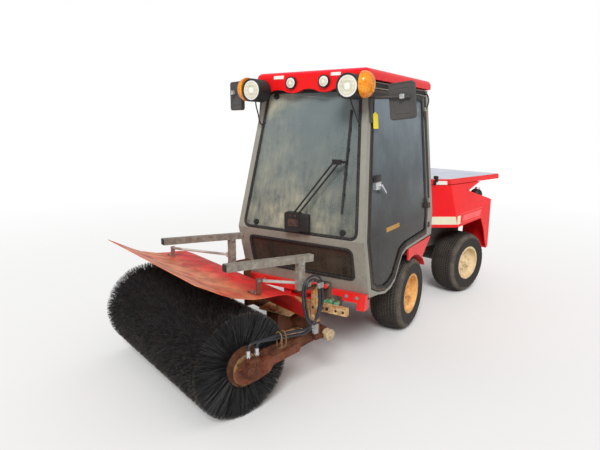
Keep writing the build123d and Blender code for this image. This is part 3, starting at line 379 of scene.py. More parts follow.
def tyreTread(name, unit):
    look = treadLook
    mat = startMaterial(name)
    point = objectPoint(mat, unit)
    away = vectorNode(mat, "SUBTRACT", point, (0, wheels[unit + "Y"], wheels["radius"]))
    far = vectorLength(mat, vectorNode(mat, "MULTIPLY", away, (0, 1, 1)))
    # distance from the wheel's middle plane flattens the crown
    off = minus(mat, mathNode(mat, "ABSOLUTE", axisValue(mat, point, 0)), wheels["halfTrack"])
    far = plus(mat, far, times(mat, off, off, look["crown"]))
    fine = noise(mat, point, look["grainScale"], 5, 0.6)
    broad = noise(mat, point, look["patchScale"], 3)
    groove = times(mat, ramp(mat, far, look["dustOut"], look["dustFull"]),
                   ramp(mat, far, look["sideEnd"], look["sideDust"]), ramp(mat, broad, 0.2, 0.55))
    groove = larger(mat, groove, times(mat, ramp(mat, fine, 0.5, 0.8), look["speckle"]))
    colour = mixColour(mat, groove, look["colour"], look["dust"])
    normal = bumpNormal(mat, fine, 0.3, 0.001)
    return finishMaterial(mat, colour, look["rough"], 0.0, normal, Specular_IOR_Level=0.3)


# sweeping brush of single fibres; its axis runs across the broom
brush = {"fibres": 42500, "endFibres": 4800, "low": -1.003, "high": 0.302, "rootRadius": 0.225,
         "tipRadius": 0.3097, "width": 0.0024, "drumRadius": 0.266, "coreRadius": 0.0903, "axisY": -0.488,
         "axisZ": 0.31}
bristleLook = {"colour": (0.0045, 0.0045, 0.005), "bright": (0.044, 0.044, 0.047), "strandAcross": 160,
               "strandRound": 40, "tip": (0.12, 0.095, 0.07), "tipStart": 0.29, "tipEnd": 0.312,
               "clumpScale": 30, "rough": 0.6}


def bristleFibre(name, look):
    mat = startMaterial(name)
    point = objectPoint(mat, "broom")
    back = vectorNode(mat, "SUBTRACT", point, (0, brush["axisY"], brush["axisZ"]))
    far = vectorLength(mat, vectorNode(mat, "MULTIPLY", back, (0, 1, 1)))
    clump = ramp(mat, noise(mat, point, look["clumpScale"], 3), 0.35, 0.7)
    tip = times(mat, ramp(mat, far, look["tipStart"], look["tipEnd"]), clump)
    angle = mathNode(mat, "ARCTAN2", axisValue(mat, back, 2), axisValue(mat, back, 1))
    across = times(mat, axisValue(mat, point, 0), look["strandAcross"])
    around = times(mat, angle, look["strandRound"])
    spread = addNode(mat, "ShaderNodeCombineXYZ", {0: across, 1: around}).outputs[0]
    colour = mixColour(mat, ramp(mat, noise(mat, spread, 1.0, 2), 0.52, 0.7), look["colour"], look["bright"])
    return finishMaterial(mat, mixColour(mat, tip, colour, look["tip"]), look["rough"])


# headlamps: distance from the middle plane, height, radius, back of the glass
lamps = {"big": (0.362, 1.854, 0.0655, -0.9413), "small": (0.127, 1.9, 0.0325, -0.8203)}
# lens colours: the flute colour is a painted glint, rim a painted highlight at the lens's edge and middle,
# ring a painted shade ring of the reflector
lensLook = {"colour": (0.52, 0.49, 0.33), "second": (0.7, 0.68, 0.52), "light": (0.86, 0.84, 0.74),
            "rim": (0.9, 0.9, 0.86), "ring": (0.22, 0.21, 0.17), "flutes": 700, "rows": 240, "rough": 0.12}


# headlamp lens with painted glints, highlights and shade of the reflector behind it
def lampGlass(name, look):
    mat = startMaterial(name)
    point = objectPoint(mat)
    x, z = axisValue(mat, point, 0), axisValue(mat, point, 2)
    flutes = mathNode(mat, "SINE", times(mat, x, look["flutes"]))
    rows = mathNode(mat, "SINE", times(mat, z, look["rows"]))
    pattern = plus(mat, times(mat, flutes, 0.5), times(mat, rows, 0.3))
    colour = mixColour(mat, ramp(mat, noise(mat, point, 18, 4), 0.35, 0.65), look["colour"], look["second"])
    # bright flute lines are painted glints
    colour = mixColour(mat, ramp(mat, pattern, -0.2, 0.9), colour, look["light"])
    for lampX, lampZ, radius, ignored in lamps.values():
        side = minus(mat, mathNode(mat, "ABSOLUTE", x), lampX)
        rise = minus(mat, z, lampZ)
        far = mathNode(mat, "SQRT", plus(mat, times(mat, side, side), times(mat, rise, rise)))

        def band(a, b, c, d):
            return times(mat, ramp(mat, far, radius * a, radius * b), ramp(mat, far, radius * c, radius * d))

        # a bright middle, a bright band at the edge and a darker ring between paint the reflector's
        # reflection and shade
        centreHighlight = times(mat, ramp(mat, far, radius * 0.34, radius * 0.2), 0.8)
        colour = mixColour(mat, larger(mat, band(0.82, 0.88, 1.3, 1.2), centreHighlight), colour, look["rim"])
        colour = mixColour(mat, times(mat, band(0.34, 0.4, 0.52, 0.44), 0.25), colour, look["ring"])
    return finishMaterial(mat, colour, look["rough"], 0.0, bumpNormal(mat, pattern, 0.5, 0.0015))


def plainWords(name):
    return "".join(" " + letter.lower() if letter.isupper() else letter for letter in name)


materials = {}
for makeMaterial, looks in ((paintedMetal, paintLooks), (barePlain, plainLooks), (dustyGlass, glassLooks),
                            (bristleFibre, {"bristle": bristleLook}), (lampGlass, {"lampGlass": lensLook})):
    for key, look in looks.items():
        materials[key] = makeMaterial(plainWords(key), look)
materials["treadFront"] = tyreTread("tread front", "front")
materials["treadRear"] = tyreTread("tread rear", "rear")
print("stage: materials")

nodeLooks = {
    "redPaint": "front_chassis front_fenders lift_arms",
    "darkSteel": "front_axle cab_floor seat_base steer_barrel lift_barrel rear_chassis rear_axle rear_tank "
                 "tow_hitch brush_core door_frame_left door_frame_right",
    "zincSteel": "pivot_pin steer_rod lift_rod",
    "greyPaint": "cab_frame",
    "roofPaint": "roof",
    "paneGlass": "windshield rear_window",
    "darkGlass": "lower_window",
    "blackPlastic": "headlamps wiper console steering_wheel",
    "lampGlass": "lamp_lenses",
    "amberLens": "indicators rear_lamps",
    "mirrorShell": "mirror_left mirror_right",
    "seatVinyl": "seat_cushion seat_back",
    "castBlock": "engine_block",
    "rearPaint": "rear_body rear_lid",
    "whiteVinyl": "filler_cap",
    "carrierPaint": "swivel_carrier",
    "rustySteel": "broom_frame broom_motor bristle_guard",
    "hoodPaint": "broom_hood",
    "barPaint": "gantry_bars",
    "rodSteel": "hood_rods",
    "hoseRubber": "broom_hoses",
    "bristle": "brush_bristles",
    "doorGlass": "door_glass_left door_glass_right",
    "silverSteel": "door_handle_left door_handle_right",
    "rubber": "tyre_front_left tyre_rear_left tyre_front_right tyre_rear_right",
    "frontRimPaint": "rim_front_left rim_front_right",
    "creamPaint": "rim_rear_left rim_rear_right",
}
for look, names in nodeLooks.items():
    for name in names.split():
        slots = cadNodes[name].data.materials
        slots.clear()
        slots.append(materials[look])

# mesh helpers

def addBox(bm, low, high, bevel=0.002, segments=2):
    middle, size = (Vector(low) + Vector(high)) / 2, Vector(high) - Vector(low)
    made = bmesh.ops.create_cube(bm, size=1.0)["verts"]
    for vert in made:
        vert.co = vert.co * size + middle
    edges = {edge for vert in made for edge in vert.link_edges}
    bmesh.ops.bevel(bm, geom=list(edges), offset=bevel, segments=segments, profile=0.6, affect="EDGES")


def addBlock(bm, centre, half, bevel):
    addBox(bm, Vector(centre) - Vector(half), Vector(centre) + Vector(half), bevel)


def addRings(bm, rings, closed=False, caps=True):
    rows = [[bm.verts.new(point) for point in ring] for ring in rings]
    count = len(rows[0])
    pairs = list(zip(rows, rows[1:]))
    if closed:
        pairs.append((rows[-1], rows[0]))
    for first, second in pairs:
        for index in range(count):
            after = (index + 1) % count
            bm.faces.new((first[index], first[after], second[after], second[index]))
    if caps and not closed:
        bm.faces.new(rows[0][::-1])
        bm.faces.new(rows[-1])


def circle(sides, turn=0.0):
    angles = [turn + step * math.tau / sides for step in range(sides)]
    return [(math.cos(angle), math.sin(angle)) for angle in angles]


def addTube(bm, points, radius, sides=10):
    points = [Vector(point) for point in points]
    along = (points[1] - points[0]).normalized()
    side = along.orthogonal().normalized()
    rings = []
    for index, point in enumerate(points):
        before, after = points[max(index - 1, 0)], points[min(index + 1, len(points) - 1)]
        turned = (after - before).normalized()
        side = (along.rotation_difference(turned) @ side).normalized()
        along = turned
        up = along.cross(side)
        size = radius[index] if isinstance(radius, list) else radius
        rings.append([point + (side * u + up * v) * size for u, v in circle(sides)])
    addRings(bm, rings)


def addLathe(bm, profile, place, sides=32, caps=False):
    # profile rows are radius and height along the local Z axis
    addRings(bm, [[place @ Vector((radius * u, radius * v, height)) for u, v in circle(sides)]
                  for radius, height in profile], caps=caps)


def axisPlace(centre, axis):
    turn = Vector((0, 0, 1)).rotation_difference(Vector(axis))
    return Matrix.Translation(Vector(centre)) @ turn.to_matrix().to_4x4()


def addTurned(bm, profile, centre, axis, sides=24):
    addLathe(bm, profile, axisPlace(centre, axis), sides, True)


def addBand(bm, points, outward, width, height, sides=8):
    # closed bead along an outline, wide in its surface and low across it
    rings = []
    for index, point in enumerate(points):
        along = (points[(index + 1) % len(points)] - points[index - 1]).normalized()
        side = along.cross(outward).normalized()
        rings.append([point + side * (width / 2 * u) + outward * (height / 2 * v) for u, v in circle(sides)])
    addRings(bm, rings, closed=True)


def addPlate(bm, outline, outward, thick):
    outward = Vector(outward).normalized() * thick
    addRings(bm, [[Vector(point) for point in outline], [Vector(point) + outward for point in outline]])


def smoothCurve(points, steps=8):
    points = [Vector(point) for point in points]
    made = []
    for index in range(len(points) - 1):
        a, b, c, d = (points[max(index - 1, 0)], points[index], points[index + 1],
                      points[min(index + 2, len(points) - 1)])
        for step in range(steps):
            t = step / steps
            made.append(0.5 * (2 * b + (c - a) * t + (2 * a - 5 * b + 4 * c - d) * t * t
                               + (3 * b - a - 3 * c + d) * t ** 3))
    return made + [points[-1]]


def roundedOutline(corners, radius, steps=6):
    made = []
    for index in range(len(corners)):
        here = Vector(corners[index])
        first = Vector(corners[index - 1]) - here
        second = Vector(corners[(index + 1) % len(corners)]) - here
        run = min(radius / math.tan(first.angle(second) / 2), first.length * 0.49, second.length * 0.49)
        a, b = here + first.normalized() * run, here + second.normalized() * run
        for step in range(steps + 1):
            t = step / steps
            made.append(a * (1 - t) ** 2 + here * 2 * t * (1 - t) + b * t * t)
    return made


def rectangle(x0, x1, y, z0, z1):
    return [Vector(point) for point in ((x0, y, z0), (x1, y, z0), (x1, y, z1), (x0, y, z1))]


def sideRectangle(x, y0, y1, z0, z1):
    return [Vector(point) for point in ((x, y0, z0), (x, y1, z0), (x, y1, z1), (x, y0, z1))]


# hexagon bolt on a washer, in shares of its size
boltWasher = [(1.15, 0), (1.15, 0.16), (1, 0.2)]
boltHead = [(0.86, 0.2), (0.86, 0.78), (0.72, 0.9)]


def addBolts(bm, centres, axis, size=0.01, washer=True):
    for centre in centres:
        for profile, sides in ((boltWasher, 20), (boltHead, 6)):
            if washer or profile is boltHead:
                addTurned(bm, [(a * size, b * size) for a, b in profile], centre, axis, sides)


def unitOf(body):
    if body in ("broom", "brush"):
        return "broom"
    return "rear" if "rear" in body else "front"


def linkPiece(name, bm, look, body):
    bm.transform(unitMatrix(unitOf(body)))
    mesh = bpy.data.meshes.new(name)
    bm.to_mesh(mesh)
    bm.free()
    mesh.materials.append(materials[look])
    piece = bpy.data.objects.new(name, mesh)
    bpy.context.scene.collection.objects.link(piece)
    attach(piece, body)
    return piece


def putPiece(name, bm, look, body, sharp=32):
    bmesh.ops.recalc_face_normals(bm, faces=bm.faces[:])
    piece = linkPiece(name, bm, look, body)
    piece.data.shade_smooth()
    piece.data.set_sharp_from_angle(angle=math.radians(sharp))
    return piece


forward, leftward, upward = Vector((0, -1, 0)), Vector((1, 0, 0)), Vector((0, 0, 1))

# the cab's sloped surfaces

cab = {"halfLow": 0.5, "halfTop": 0.403, "waist": 0.905, "top": 1.9, "frontLow": -0.845, "frontWaist": -0.95,
       "frontTop": -0.737, "lowZ": 0.5}


def cabFrontY(z):
    end, endZ = ("frontLow", "lowZ") if z < cab["waist"] else ("frontTop", "top")
    share = (z - cab["waist"]) / (cab[endZ] - cab["waist"])
    return cab["frontWaist"] + share * (cab[end] - cab["frontWaist"])


def cabHalf(z):
    share = max(0.0, (z - cab["waist"]) / (cab["top"] - cab["waist"]))
    return cab["halfLow"] + share * (cab["halfTop"] - cab["halfLow"])


# tyres with small staggered turf blocks; crown rows are distance from the middle and radius

tread = {"rows": 10, "around": 72, "rowStep": 0.0235, "blockWide": 0.0175, "blockLong": 0.0195,
         "blockDepth": 0.0095, "skew": 0.35, "sides": 96, "lugLift": 0.00192, "lugSink": 0.0014}
tyreCrown = [(0, 0.297), (0.069, 0.294), (0.107, 0.283), (0.131, 0.251)]
tyreHalf = [(0.0, 0.2895), (0.069, 0.2865), (0.1, 0.2795), (0.118, 0.266), (0.1285, 0.25), (0.1308, 0.236),
            (0.1308, 0.226), (0.1292, 0.224), (0.1292, 0.204), (0.1308, 0.202), (0.1308, 0.192),
            (0.129, 0.182), (0.122, 0.168), (0.119, 0.151)]
shoulderLug = ((0.1165, 0.2705, -0.022), (0.1165, 0.2705, 0.022), (0.1285, 0.2475, 0.017),
               (0.1285, 0.2475, -0.017))


def crownRadius(x):
    for (x0, r0), (x1, r1) in zip(tyreCrown, tyreCrown[1:]):
        if abs(x) <= x1:
            return r0 + (abs(x) - x0) / (x1 - x0) * (r1 - r0)
    return tyreCrown[-1][1]


def treadBlock(bm, middle, turn):
    wide, long = tread["blockWide"] / 2, tread["blockLong"] / wheels["radius"] / 2
    rings = []
    for grow, sink in ((1.0, tread["blockDepth"]), (1.0, 0.0022), (0.88, 0.0004)):
        ring = []
        for across, around in ((-1, -1), (1, -1), (1, 1), (-1, 1)):
            x, angle = middle + across * wide * grow, turn + around * long * grow
            radius = crownRadius(x) - sink
            ring.append(Vector((x, math.cos(angle) * radius, math.sin(angle) * radius)))
        rings.append(ring)
    addRings(bm, rings)


def turfTyre(name, body, place, centre):
    bm = bmesh.new()
    profile = [(radius, -x) for x, radius in tyreHalf[::-1]] + [(radius, x) for x, radius in tyreHalf[1:]]
    addLathe(bm, profile, Matrix.Rotation(math.radians(90), 4, "Y"), tread["sides"])
    pitch = math.tau / tread["around"]
    for row in range(tread["rows"]):
        x = (row - (tread["rows"] - 1) / 2) * tread["rowStep"]
        shift = (pitch / 2 if row % 2 else 0) + abs(x) * tread["skew"]
        for step in range(tread["around"]):
            treadBlock(bm, x, step * pitch + shift)
    for side in (-1, 1):
        for step in range(tread["around"] // 2):
            angle = step * pitch * 2
            rings = []
            for lift in (0.0, tread["lugLift"]):
                ring = []
                for x, radius, turn in shoulderLug:
                    out = Vector((0, math.cos(angle + turn), math.sin(angle + turn))) * (radius + lift)
                    ring.append(out + Vector((side * (x - tread["lugSink"] + lift), 0, 0)))
                rings.append(ring)
            addRings(bm, rings)
    bmesh.ops.translate(bm, verts=bm.verts[:], vec=centre)
    piece = putPiece(name, bm, "tread" + place.capitalize(), body, 28)
    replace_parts(piece, body.replace("wheel", "tyre"))


nuts = {"count": 5, "circle": 0.062, "seat": 0.0812, "cap": 0.1031}
nutProfile = [(0.0125, 0), (0.0125, 0.001), (0.0105, 0.002), (0.0105, 0.01), (0.0085, 0.0125)]
hubProfile = [(0.034, 0.0), (0.034, 0.01), (0.03, 0.016), (0.012, 0.018), (0.01, 0.018)]
rimProfile = [(0.1415, 0.116), (0.1415, 0.119), (0.1445, 0.1215), (0.1475, 0.1215), (0.1475, 0.118)]


def wheelNuts(name, body, place, centre, side):
    bm = bmesh.new()
    centre, out = Vector(centre), Vector((side, 0, 0))
    for u, v in circle(nuts["count"], 0.3):
        foot = centre + Vector((side * nuts["seat"], u * nuts["circle"], v * nuts["circle"]))
        addTurned(bm, nutProfile, foot, out, 6)
        addTurned(bm, [(0.0055, 0.012), (0.0055, 0.019), (0.0045, 0.02)], foot, out, 10)
    addTurned(bm, hubProfile, centre + out * nuts["cap"], out, 28)
    addLathe(bm, rimProfile, axisPlace(centre, out), 64)
    valve = centre + Vector((side * 0.096, 0.0, 0.132))
    addTube(bm, [valve, valve + Vector((side * 0.018, 0, -0.006)), valve + Vector((side * 0.03, 0, -0.01))],
            [0.0045, 0.004, 0.0035], 8)
    putPiece(name, bm, "frontRimPaint" if place == "front" else "creamPaint", body)


for place in ("front", "rear"):
    for sideName, side in (("left", 1), ("right", -1)):
        end = f"{place}_{sideName}"
        centre = (side * wheels["halfTrack"], wheels[place + "Y"], wheels["radius"])
        turfTyre("tread_" + end, "wheel_" + end, place, centre)
        wheelNuts("wheel_nuts_" + end, "wheel_" + end, place, centre, side)
print("stage: wheels")


def brushFibres():
    rand = random.Random(11)
    low, high = brush["low"], brush["high"]
    bm = bmesh.new()

    def polar(x, radius, angle):
        return Vector((x, brush["axisY"] + math.cos(angle) * radius,
                       brush["axisZ"] + math.sin(angle) * radius))

    def strand(points, width, roll):
        along = (points[-1] - points[0]).normalized()
        side = (Matrix.Rotation(roll, 3, along) @ along.orthogonal().normalized()) * width / 2
        rows = []
        for index, point in enumerate(points):
            share = 1 - 0.2 * index
            rows.append((bm.verts.new(point - side * share), bm.verts.new(point + side * share)))
        for (a, b), (c, d) in zip(rows, rows[1:]):
            bm.faces.new((a, b, d, c))

    inner, drum = (low + 0.012, high - 0.012), brush["drumRadius"]
    turned = Matrix.Translation(polar(0, 0, 0)) @ Matrix.Rotation(math.radians(90), 4, "Y")
    addLathe(bm, [(brush["coreRadius"], inner[0] + 0.004), (drum - 0.03, inner[0]), (drum, inner[0] + 0.02),
                  (drum + 0.004, sum(inner) / 2), (drum, inner[1] - 0.02), (drum - 0.03, inner[1]),
                  (brush["coreRadius"], inner[1] - 0.004)], turned, 64)
    for index in range(brush["fibres"]):
        x = low + (high - low) * rand.random()
        angle = rand.random() * math.tau
        clump = math.sin(x * 70 + math.sin(angle * 6) * 2.0) * math.sin(angle * 17 + x * 9)
        tip = brush["tipRadius"] - 0.011 * rand.random() ** 2.5 - 0.002 * (1 - clump) / 2
        lean = rand.gauss(0.0, 0.035) + 0.02 * clump
        far = min(max(x + rand.gauss(0.0, 0.007), low), high)
        middle = polar((x + far) / 2, (brush["rootRadius"] + tip) / 2 + 0.01, angle + lean * 0.35)
        strand([polar(x, brush["rootRadius"], angle), middle, polar(far, tip, angle + lean)], brush["width"],
               rand.random() * math.pi)
    for index in range(brush["endFibres"]):
        end, face = (1, high) if index % 4 else (-1, low)
        angle = rand.random() * math.tau
        start = 0.098 + 0.1 * rand.random()
        tip = brush["tipRadius"] - 0.03 * rand.random()
        lean = rand.gauss(0.0, 0.05)
        middle = polar(face - end * (0.001 + 0.004 * rand.random()), (start + tip) / 2, angle + lean * 0.3)
        last = polar(face - end * 0.001 * rand.random(), tip, angle + lean)
        root = polar(face - end * 0.012, start, angle)
        strand([root, middle, last], brush["width"] * 1.3, rand.random() * math.pi)
    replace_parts(linkPiece("brush_fibres", bm, "bristle", "brush"), "brush_bristles")


brushFibres()
print("stage: brush")

# rubber seals round the panes

seal = {"width": 0.021, "height": 0.012, "lift": 0.0015, "doorWidth": 0.02, "doorHeight": 0.008,
        "doorInset": 0.036, "post": 0.046, "doorTop": 1.856, "doorRear": 0.282, "sillZ": 0.74}
frontSeals = {"windshield_seal": {"low": 0.918, "high": 1.846, "side": 0.052, "corner": 0.046},
              "lower_window_seal": {"low": 0.632, "high": 0.846, "side": 0.092, "corner": 0.04}}
wheelArch = [(-0.48, 0.5), (-0.4, 0.536), (-0.33, 0.63), (-0.277, 0.697), (-0.2, 0.722)]


def frontSeal(name, look):
    bm = bmesh.new()
    low, high = look["low"], look["high"]
    halfLow, halfHigh = cabHalf(low) - look["side"], cabHalf(high) - look["side"]
    corners = [(-halfLow, low, 0), (halfLow, low, 0), (halfHigh, high, 0), (-halfHigh, high, 0)]
    outward = Vector((0, -1, (cabFrontY(high) - cabFrontY(low)) / (high - low))).normalized()
    points = [Vector((x, cabFrontY(z), z)) + outward * seal["lift"]
              for x, z, ignored in roundedOutline(corners, look["corner"])]
    addBand(bm, points, outward, seal["width"], seal["height"])
    putPiece(name, bm, "rubber", "front_unit")


def doorSeal(sideName, side):
    inset = seal["doorInset"]
    post, top, rear = seal["post"] + inset, seal["doorTop"] - inset, seal["doorRear"] - inset
    corners = [(cabFrontY(0.56) + post, 0.566 + inset), (cabFrontY(cab["waist"]) + post, cab["waist"]),
               (cabFrontY(top) + post, top), (rear, top), (rear, seal["sillZ"] + inset)]
    for y, z in wheelArch[::-1] + [(-0.577, 0.489)]:
        corners.append((y - inset * 0.6 * (y < -0.26), z + inset))
    corners.append((-0.7, 0.515 + inset))
    points = [Vector((side * (cabHalf(z) + 0.001), y, z))
              for y, z, ignored in roundedOutline([(y, z, 0) for y, z in corners], 0.018, 3)]
    bm = bmesh.new()
    addBand(bm, points, Vector((side, 0, 0.06)).normalized(), seal["doorWidth"], seal["doorHeight"])
    putPiece("door_seal_" + sideName, bm, "rubber", "door_" + sideName)


def rearSeal():
    bm = bmesh.new()
    corners = [(-0.4, 0.3925, 1.014), (0.4, 0.3925, 1.014), (0.336, 0.3925, 1.736), (-0.336, 0.3925, 1.736)]
    addBand(bm, roundedOutline(corners, 0.042), -forward, 0.018, 0.006)
    putPiece("rear_window_seal", bm, "rubber", "front_unit")


rearSeal()
for name, look in frontSeals.items():
    frontSeal(name, look)
doorSeal("left", 1)
doorSeal("right", -1)
print("stage: seals")

# lamps, mirrors and small fittings of the cab

lampDome = [(1, 0.0), (1, 0.0075), (0.96, 0.009), (0.9, 0.0086), (0.86, 0.0098)]
lampRing = [(0.0662, -0.012), (0.0662, 0.0005), (0.069, 0.0022), (0.0735, 0.0022), (0.0758, 0.0004),
            (0.0764, -0.018), (0.0758, -0.0182)]
# lamp cable rows: out from the lamp's middle, place along the cab, drop below the lamp's middle
lampCable = [(0, -0.905, 0.07), (0.004, -0.893, 0.105), (0.012, -0.862, 0.155), (0.02, -0.838, 0.2),
             (0.022, -0.822, 0.22), (0.014, -0.8, 0.228), (0.004, -0.786, 0.21)]


def lampPieces():
    glass, trim = bmesh.new(), bmesh.new()
    for side in (-1, 1):
        for x, z, radius, back in lamps.values():
            dome = [(radius * share, height) for share, height in lampDome]
            dome += [(radius * share, 0.0098 + 0.0022 * (1 - share * share))
                     for share in (0.7, 0.5, 0.3, 0.12, 0.01)]
            addTurned(glass, dome, (side * x, back, z), forward, 48)
        x, z = lamps["big"][:2]
        addLathe(trim, lampRing, axisPlace((side * x, -0.9548, z), forward), 56)
        for u, v in circle(3):
            addBlock(trim, (side * x + u * 0.0765, -0.9, z + v * 0.0765), (0.005, 0.01, 0.004), 0.0015)
        cable = [(side * (x + out), y, z - drop) for out, y, drop in lampCable]
        addTube(trim, smoothCurve(cable, 5), 0.0045, 8)
    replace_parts(putPiece("lamp_glasses", glass, "lampGlass", "front_unit"), "lamp_lenses")
    putPiece("lamp_trim", trim, "blackPlastic", "front_unit")


def blankLabels():
    bm = bmesh.new()
    for low, high, foot, head in ((-0.273, -0.191, 1.929, 1.951), (0.172, 0.243, 1.933, 1.953)):
        outline = [(low, -0.8126, foot), (high, -0.8126, foot), (high, -0.8098, head), (low, -0.8098, head)]
        addPlate(bm, roundedOutline(outline, 0.003, 3), (0, -1, 0.1), 0.0012)
    putPiece("blank_labels", bm, "whiteVinyl", "front_unit")


mirrors = {
    "left": {"place": (0.651, -0.79, 1.767), "turn": -6, "axis": "Y", "half": (0.08, 0.109), "clamp": 0.01},
    "right": {"place": (-0.598, -0.812, 1.828), "turn": -20, "axis": "Z", "half": (0.079, 0.1),
              "clamp": -0.01}}
mirrorArm = [(0.4305, -0.766, 1.79), (0.47, -0.784, 1.79), (0.53, -0.812, 1.79), (0.59, -0.818, 1.79),
             (0.64, -0.818, 1.79), (0.708, -0.816, 1.788)]


def mirrorDetail(side, look):
    place = Matrix.Translation(look["place"]) @ Matrix.Rotation(math.radians(look["turn"]), 4, look["axis"])
    (wide, tall), clampX = look["half"], look["clamp"]
    glass, back, clamp = bmesh.new(), bmesh.new(), bmesh.new()

    def rounded(y, insetX, insetZ, corner):
        wideIn, tallIn = wide - insetX, tall - insetZ
        return roundedOutline(rectangle(-wideIn, wideIn, y, -tallIn, tallIn), corner)

    addPlate(glass, rounded(0.0131, 0.008, 0.008, 0.016), -forward, 0.0014)
    addBand(back, rounded(-0.0132, 0.007, 0.007, 0.017), forward, 0.006, 0.005)
    addBand(back, rounded(-0.0132, 0.03, 0.034, 0.014), forward, 0.004, 0.003)
    addBox(back, (clampX - 0.022, -0.02, 0.004), (clampX + 0.022, -0.0125, 0.042), 0.003)
    addBox(clamp, (clampX - 0.015, -0.0395, 0.01), (clampX + 0.015, -0.0205, 0.037), 0.004)
    for z in (0.014, 0.033):
        addTurned(clamp, [(0.006, 0), (0.006, 0.004), (0.0048, 0.005)], (clampX, -0.0396, z), forward, 6)
    for bm in (glass, back, clamp):
        bm.transform(place)
    if side == "left":
        addTube(back, smoothCurve(mirrorArm, 6), 0.0075, 12)
    putPiece("mirror_glass_" + side, glass, "mirrorGlass", "front_unit")
    putPiece("mirror_back_" + side, back, "mirrorShell", "front_unit")
    putPiece("mirror_clamp_" + side, clamp, "silverSteel", "front_unit")


buttonProfile = [(0.019, 0.0), (0.019, 0.013), (0.016, 0.017), (0.007, 0.018), (0.006, 0.021),
                 (0.0005, 0.0215)]
lockProfile = [(0.01, 0.0), (0.01, 0.004), (0.0075, 0.005), (0.0005, 0.0052)]
# door check arm rows: out from the cab's side, place along the cab, height
checkArm = [(-0.004, 0.312, 1.868), (0.022, 0.308, 1.862), (0.036, 0.304, 1.82), (0.03, 0.298, 1.775),
            (0.012, 0.296, 1.742)]


def cabFittings():
    bm = bmesh.new()
    lean = (cab["frontTop"] - cab["frontWaist"]) / (cab["top"] - cab["waist"])
    outward = Vector((0, -1, lean)).normalized()
    for x, z in ((-0.291, 1.82), (0.291, 1.82), (-0.345, 0.952), (0.345, 0.952)):
        addTurned(bm, buttonProfile, Vector((x, cabFrontY(z), z)) - outward * 0.008, outward)
    for name, side in (("left", 1), ("right", -1)):
        arm = [(side * (cabHalf(1.8) + out), y, z) for out, y, z in checkArm]
        addTube(bm, smoothCurve(arm, 6), 0.0055, 10)
        lock = bmesh.new()
        x = cabHalf(1.285) + 0.001
        addBlock(lock, (side * (x + 0.005), -0.706, 1.285), (0.005, 0.056, 0.019), 0.006)
        addTurned(lock, lockProfile, (side * (x + 0.0098), -0.735, 1.285), (side, 0, 0), 16)
        putPiece("door_lock_" + name, lock, "blackPlastic", "door_" + name)
    putPiece("cab_fittings", bm, "blackPlastic", "front_unit")


gasket = {"lift": 0.0002, "proud": 0.0028, "bevel": 0.002, "near": 0.004, "far": 0.026,
          "postY": (0.288, 0.345), "postZ": (0.79, 1.1, 1.45, 1.852),
          "railZ": (1.862, 1.892), "railY": (-0.7, -0.35, 0.0, 0.345)}


def doorGaskets():
    # rubber on the cab's skin behind, above and below each door
    bm = bmesh.new()
    archLine = [Vector(point) for point in [(-0.56, 0.492)] + wheelArch]
    for side in (-1, 1):
        def strip(first, second):
            # a flat strip between two rows of points, bevelled at its edges
            rings = []
            for a, b in zip(first, second):
                slant = (b - a).normalized() * gasket["bevel"]
                ring = [(a, gasket["lift"]), (b, gasket["lift"])]
                ring += [(b - slant, gasket["proud"]), (a + slant, gasket["proud"])]
                rings.append([Vector((side * (cabHalf(point.y) + lift), point.x, point.y))
                              for point, lift in ring])
            addRings(bm, rings)

        strip(*([Vector((y, z)) for z in gasket["postZ"]] for y in gasket["postY"]))
        strip(*([Vector((y, z)) for y in gasket["railY"]] for z in gasket["railZ"]))
        across = []
        for index, point in enumerate(archLine):
            along = archLine[min(index + 1, len(archLine) - 1)] - archLine[max(index - 1, 0)]
            across.append(Vector((-along.y, along.x)).normalized())
        strip([point + way * gasket["near"] for point, way in zip(archLine, across)],
              [point + way * gasket["far"] for point, way in zip(archLine, across)])
    putPiece("door_gaskets", bm, "rubber", "front_unit")


wiper = {"low": (0.346, 0.04, 1.08, 1.073), "high": (0.323, 0.026, 1.712, 1.719),
         "clips": (0.18, 0.38, 0.62, 0.82), "pivots": (-0.008, 0.03), "pivotZ": 1.04,
         "motorLow": (0.046, -1.003, 0.934), "motorHigh": (0.124, -0.964, 1.055),
         "pivotCap": [(0.016, 0), (0.016, 0.01), (0.012, 0.014), (0.004, 0.015)]}


def wiperDetail():
    bm = bmesh.new()
    low, high = (Vector((x, cabFrontY(skinZ) - off, z)) for x, off, z, skinZ in (wiper["low"], wiper["high"]))
    rubber = [low + (high - low) * (step / 12) + Vector((0, 0.006 + 0.003 * math.sin(step * math.pi / 12), 0))
              for step in range(13)]
    addTube(bm, rubber, 0.0035, 6)
    for share in wiper["clips"]:
        addBlock(bm, low + (high - low) * share, (0.01, 0.006, 0.014), 0.003)
    addBox(bm, wiper["motorLow"], wiper["motorHigh"], 0.013, 3)
    steel = bmesh.new()
    z = wiper["pivotZ"]
    for x in wiper["pivots"]:
        addTurned(bm, wiper["pivotCap"], (x, cabFrontY(z) - 0.066, z), forward, 16)
        addTurned(steel, [(0.0085, 0.0), (0.0085, 0.007)], (x, cabFrontY(z) - 0.0812, z), forward, 6)
    putPiece("wiper_detail", bm, "blackPlastic", "front_unit")
    addPlate(steel, roundedOutline(rectangle(-0.03, 0.052, -1.0045, 0.968, 1.016), 0.008, 3), forward, 0.003)
    for x in (-0.016, 0.038):
        addTurned(steel, [(0.0065, 0.0), (0.0065, 0.005)], (x, -1.0073, 0.992), forward, 6)
    putPiece("wiper_pivots", steel, "darkSteel", "front_unit")


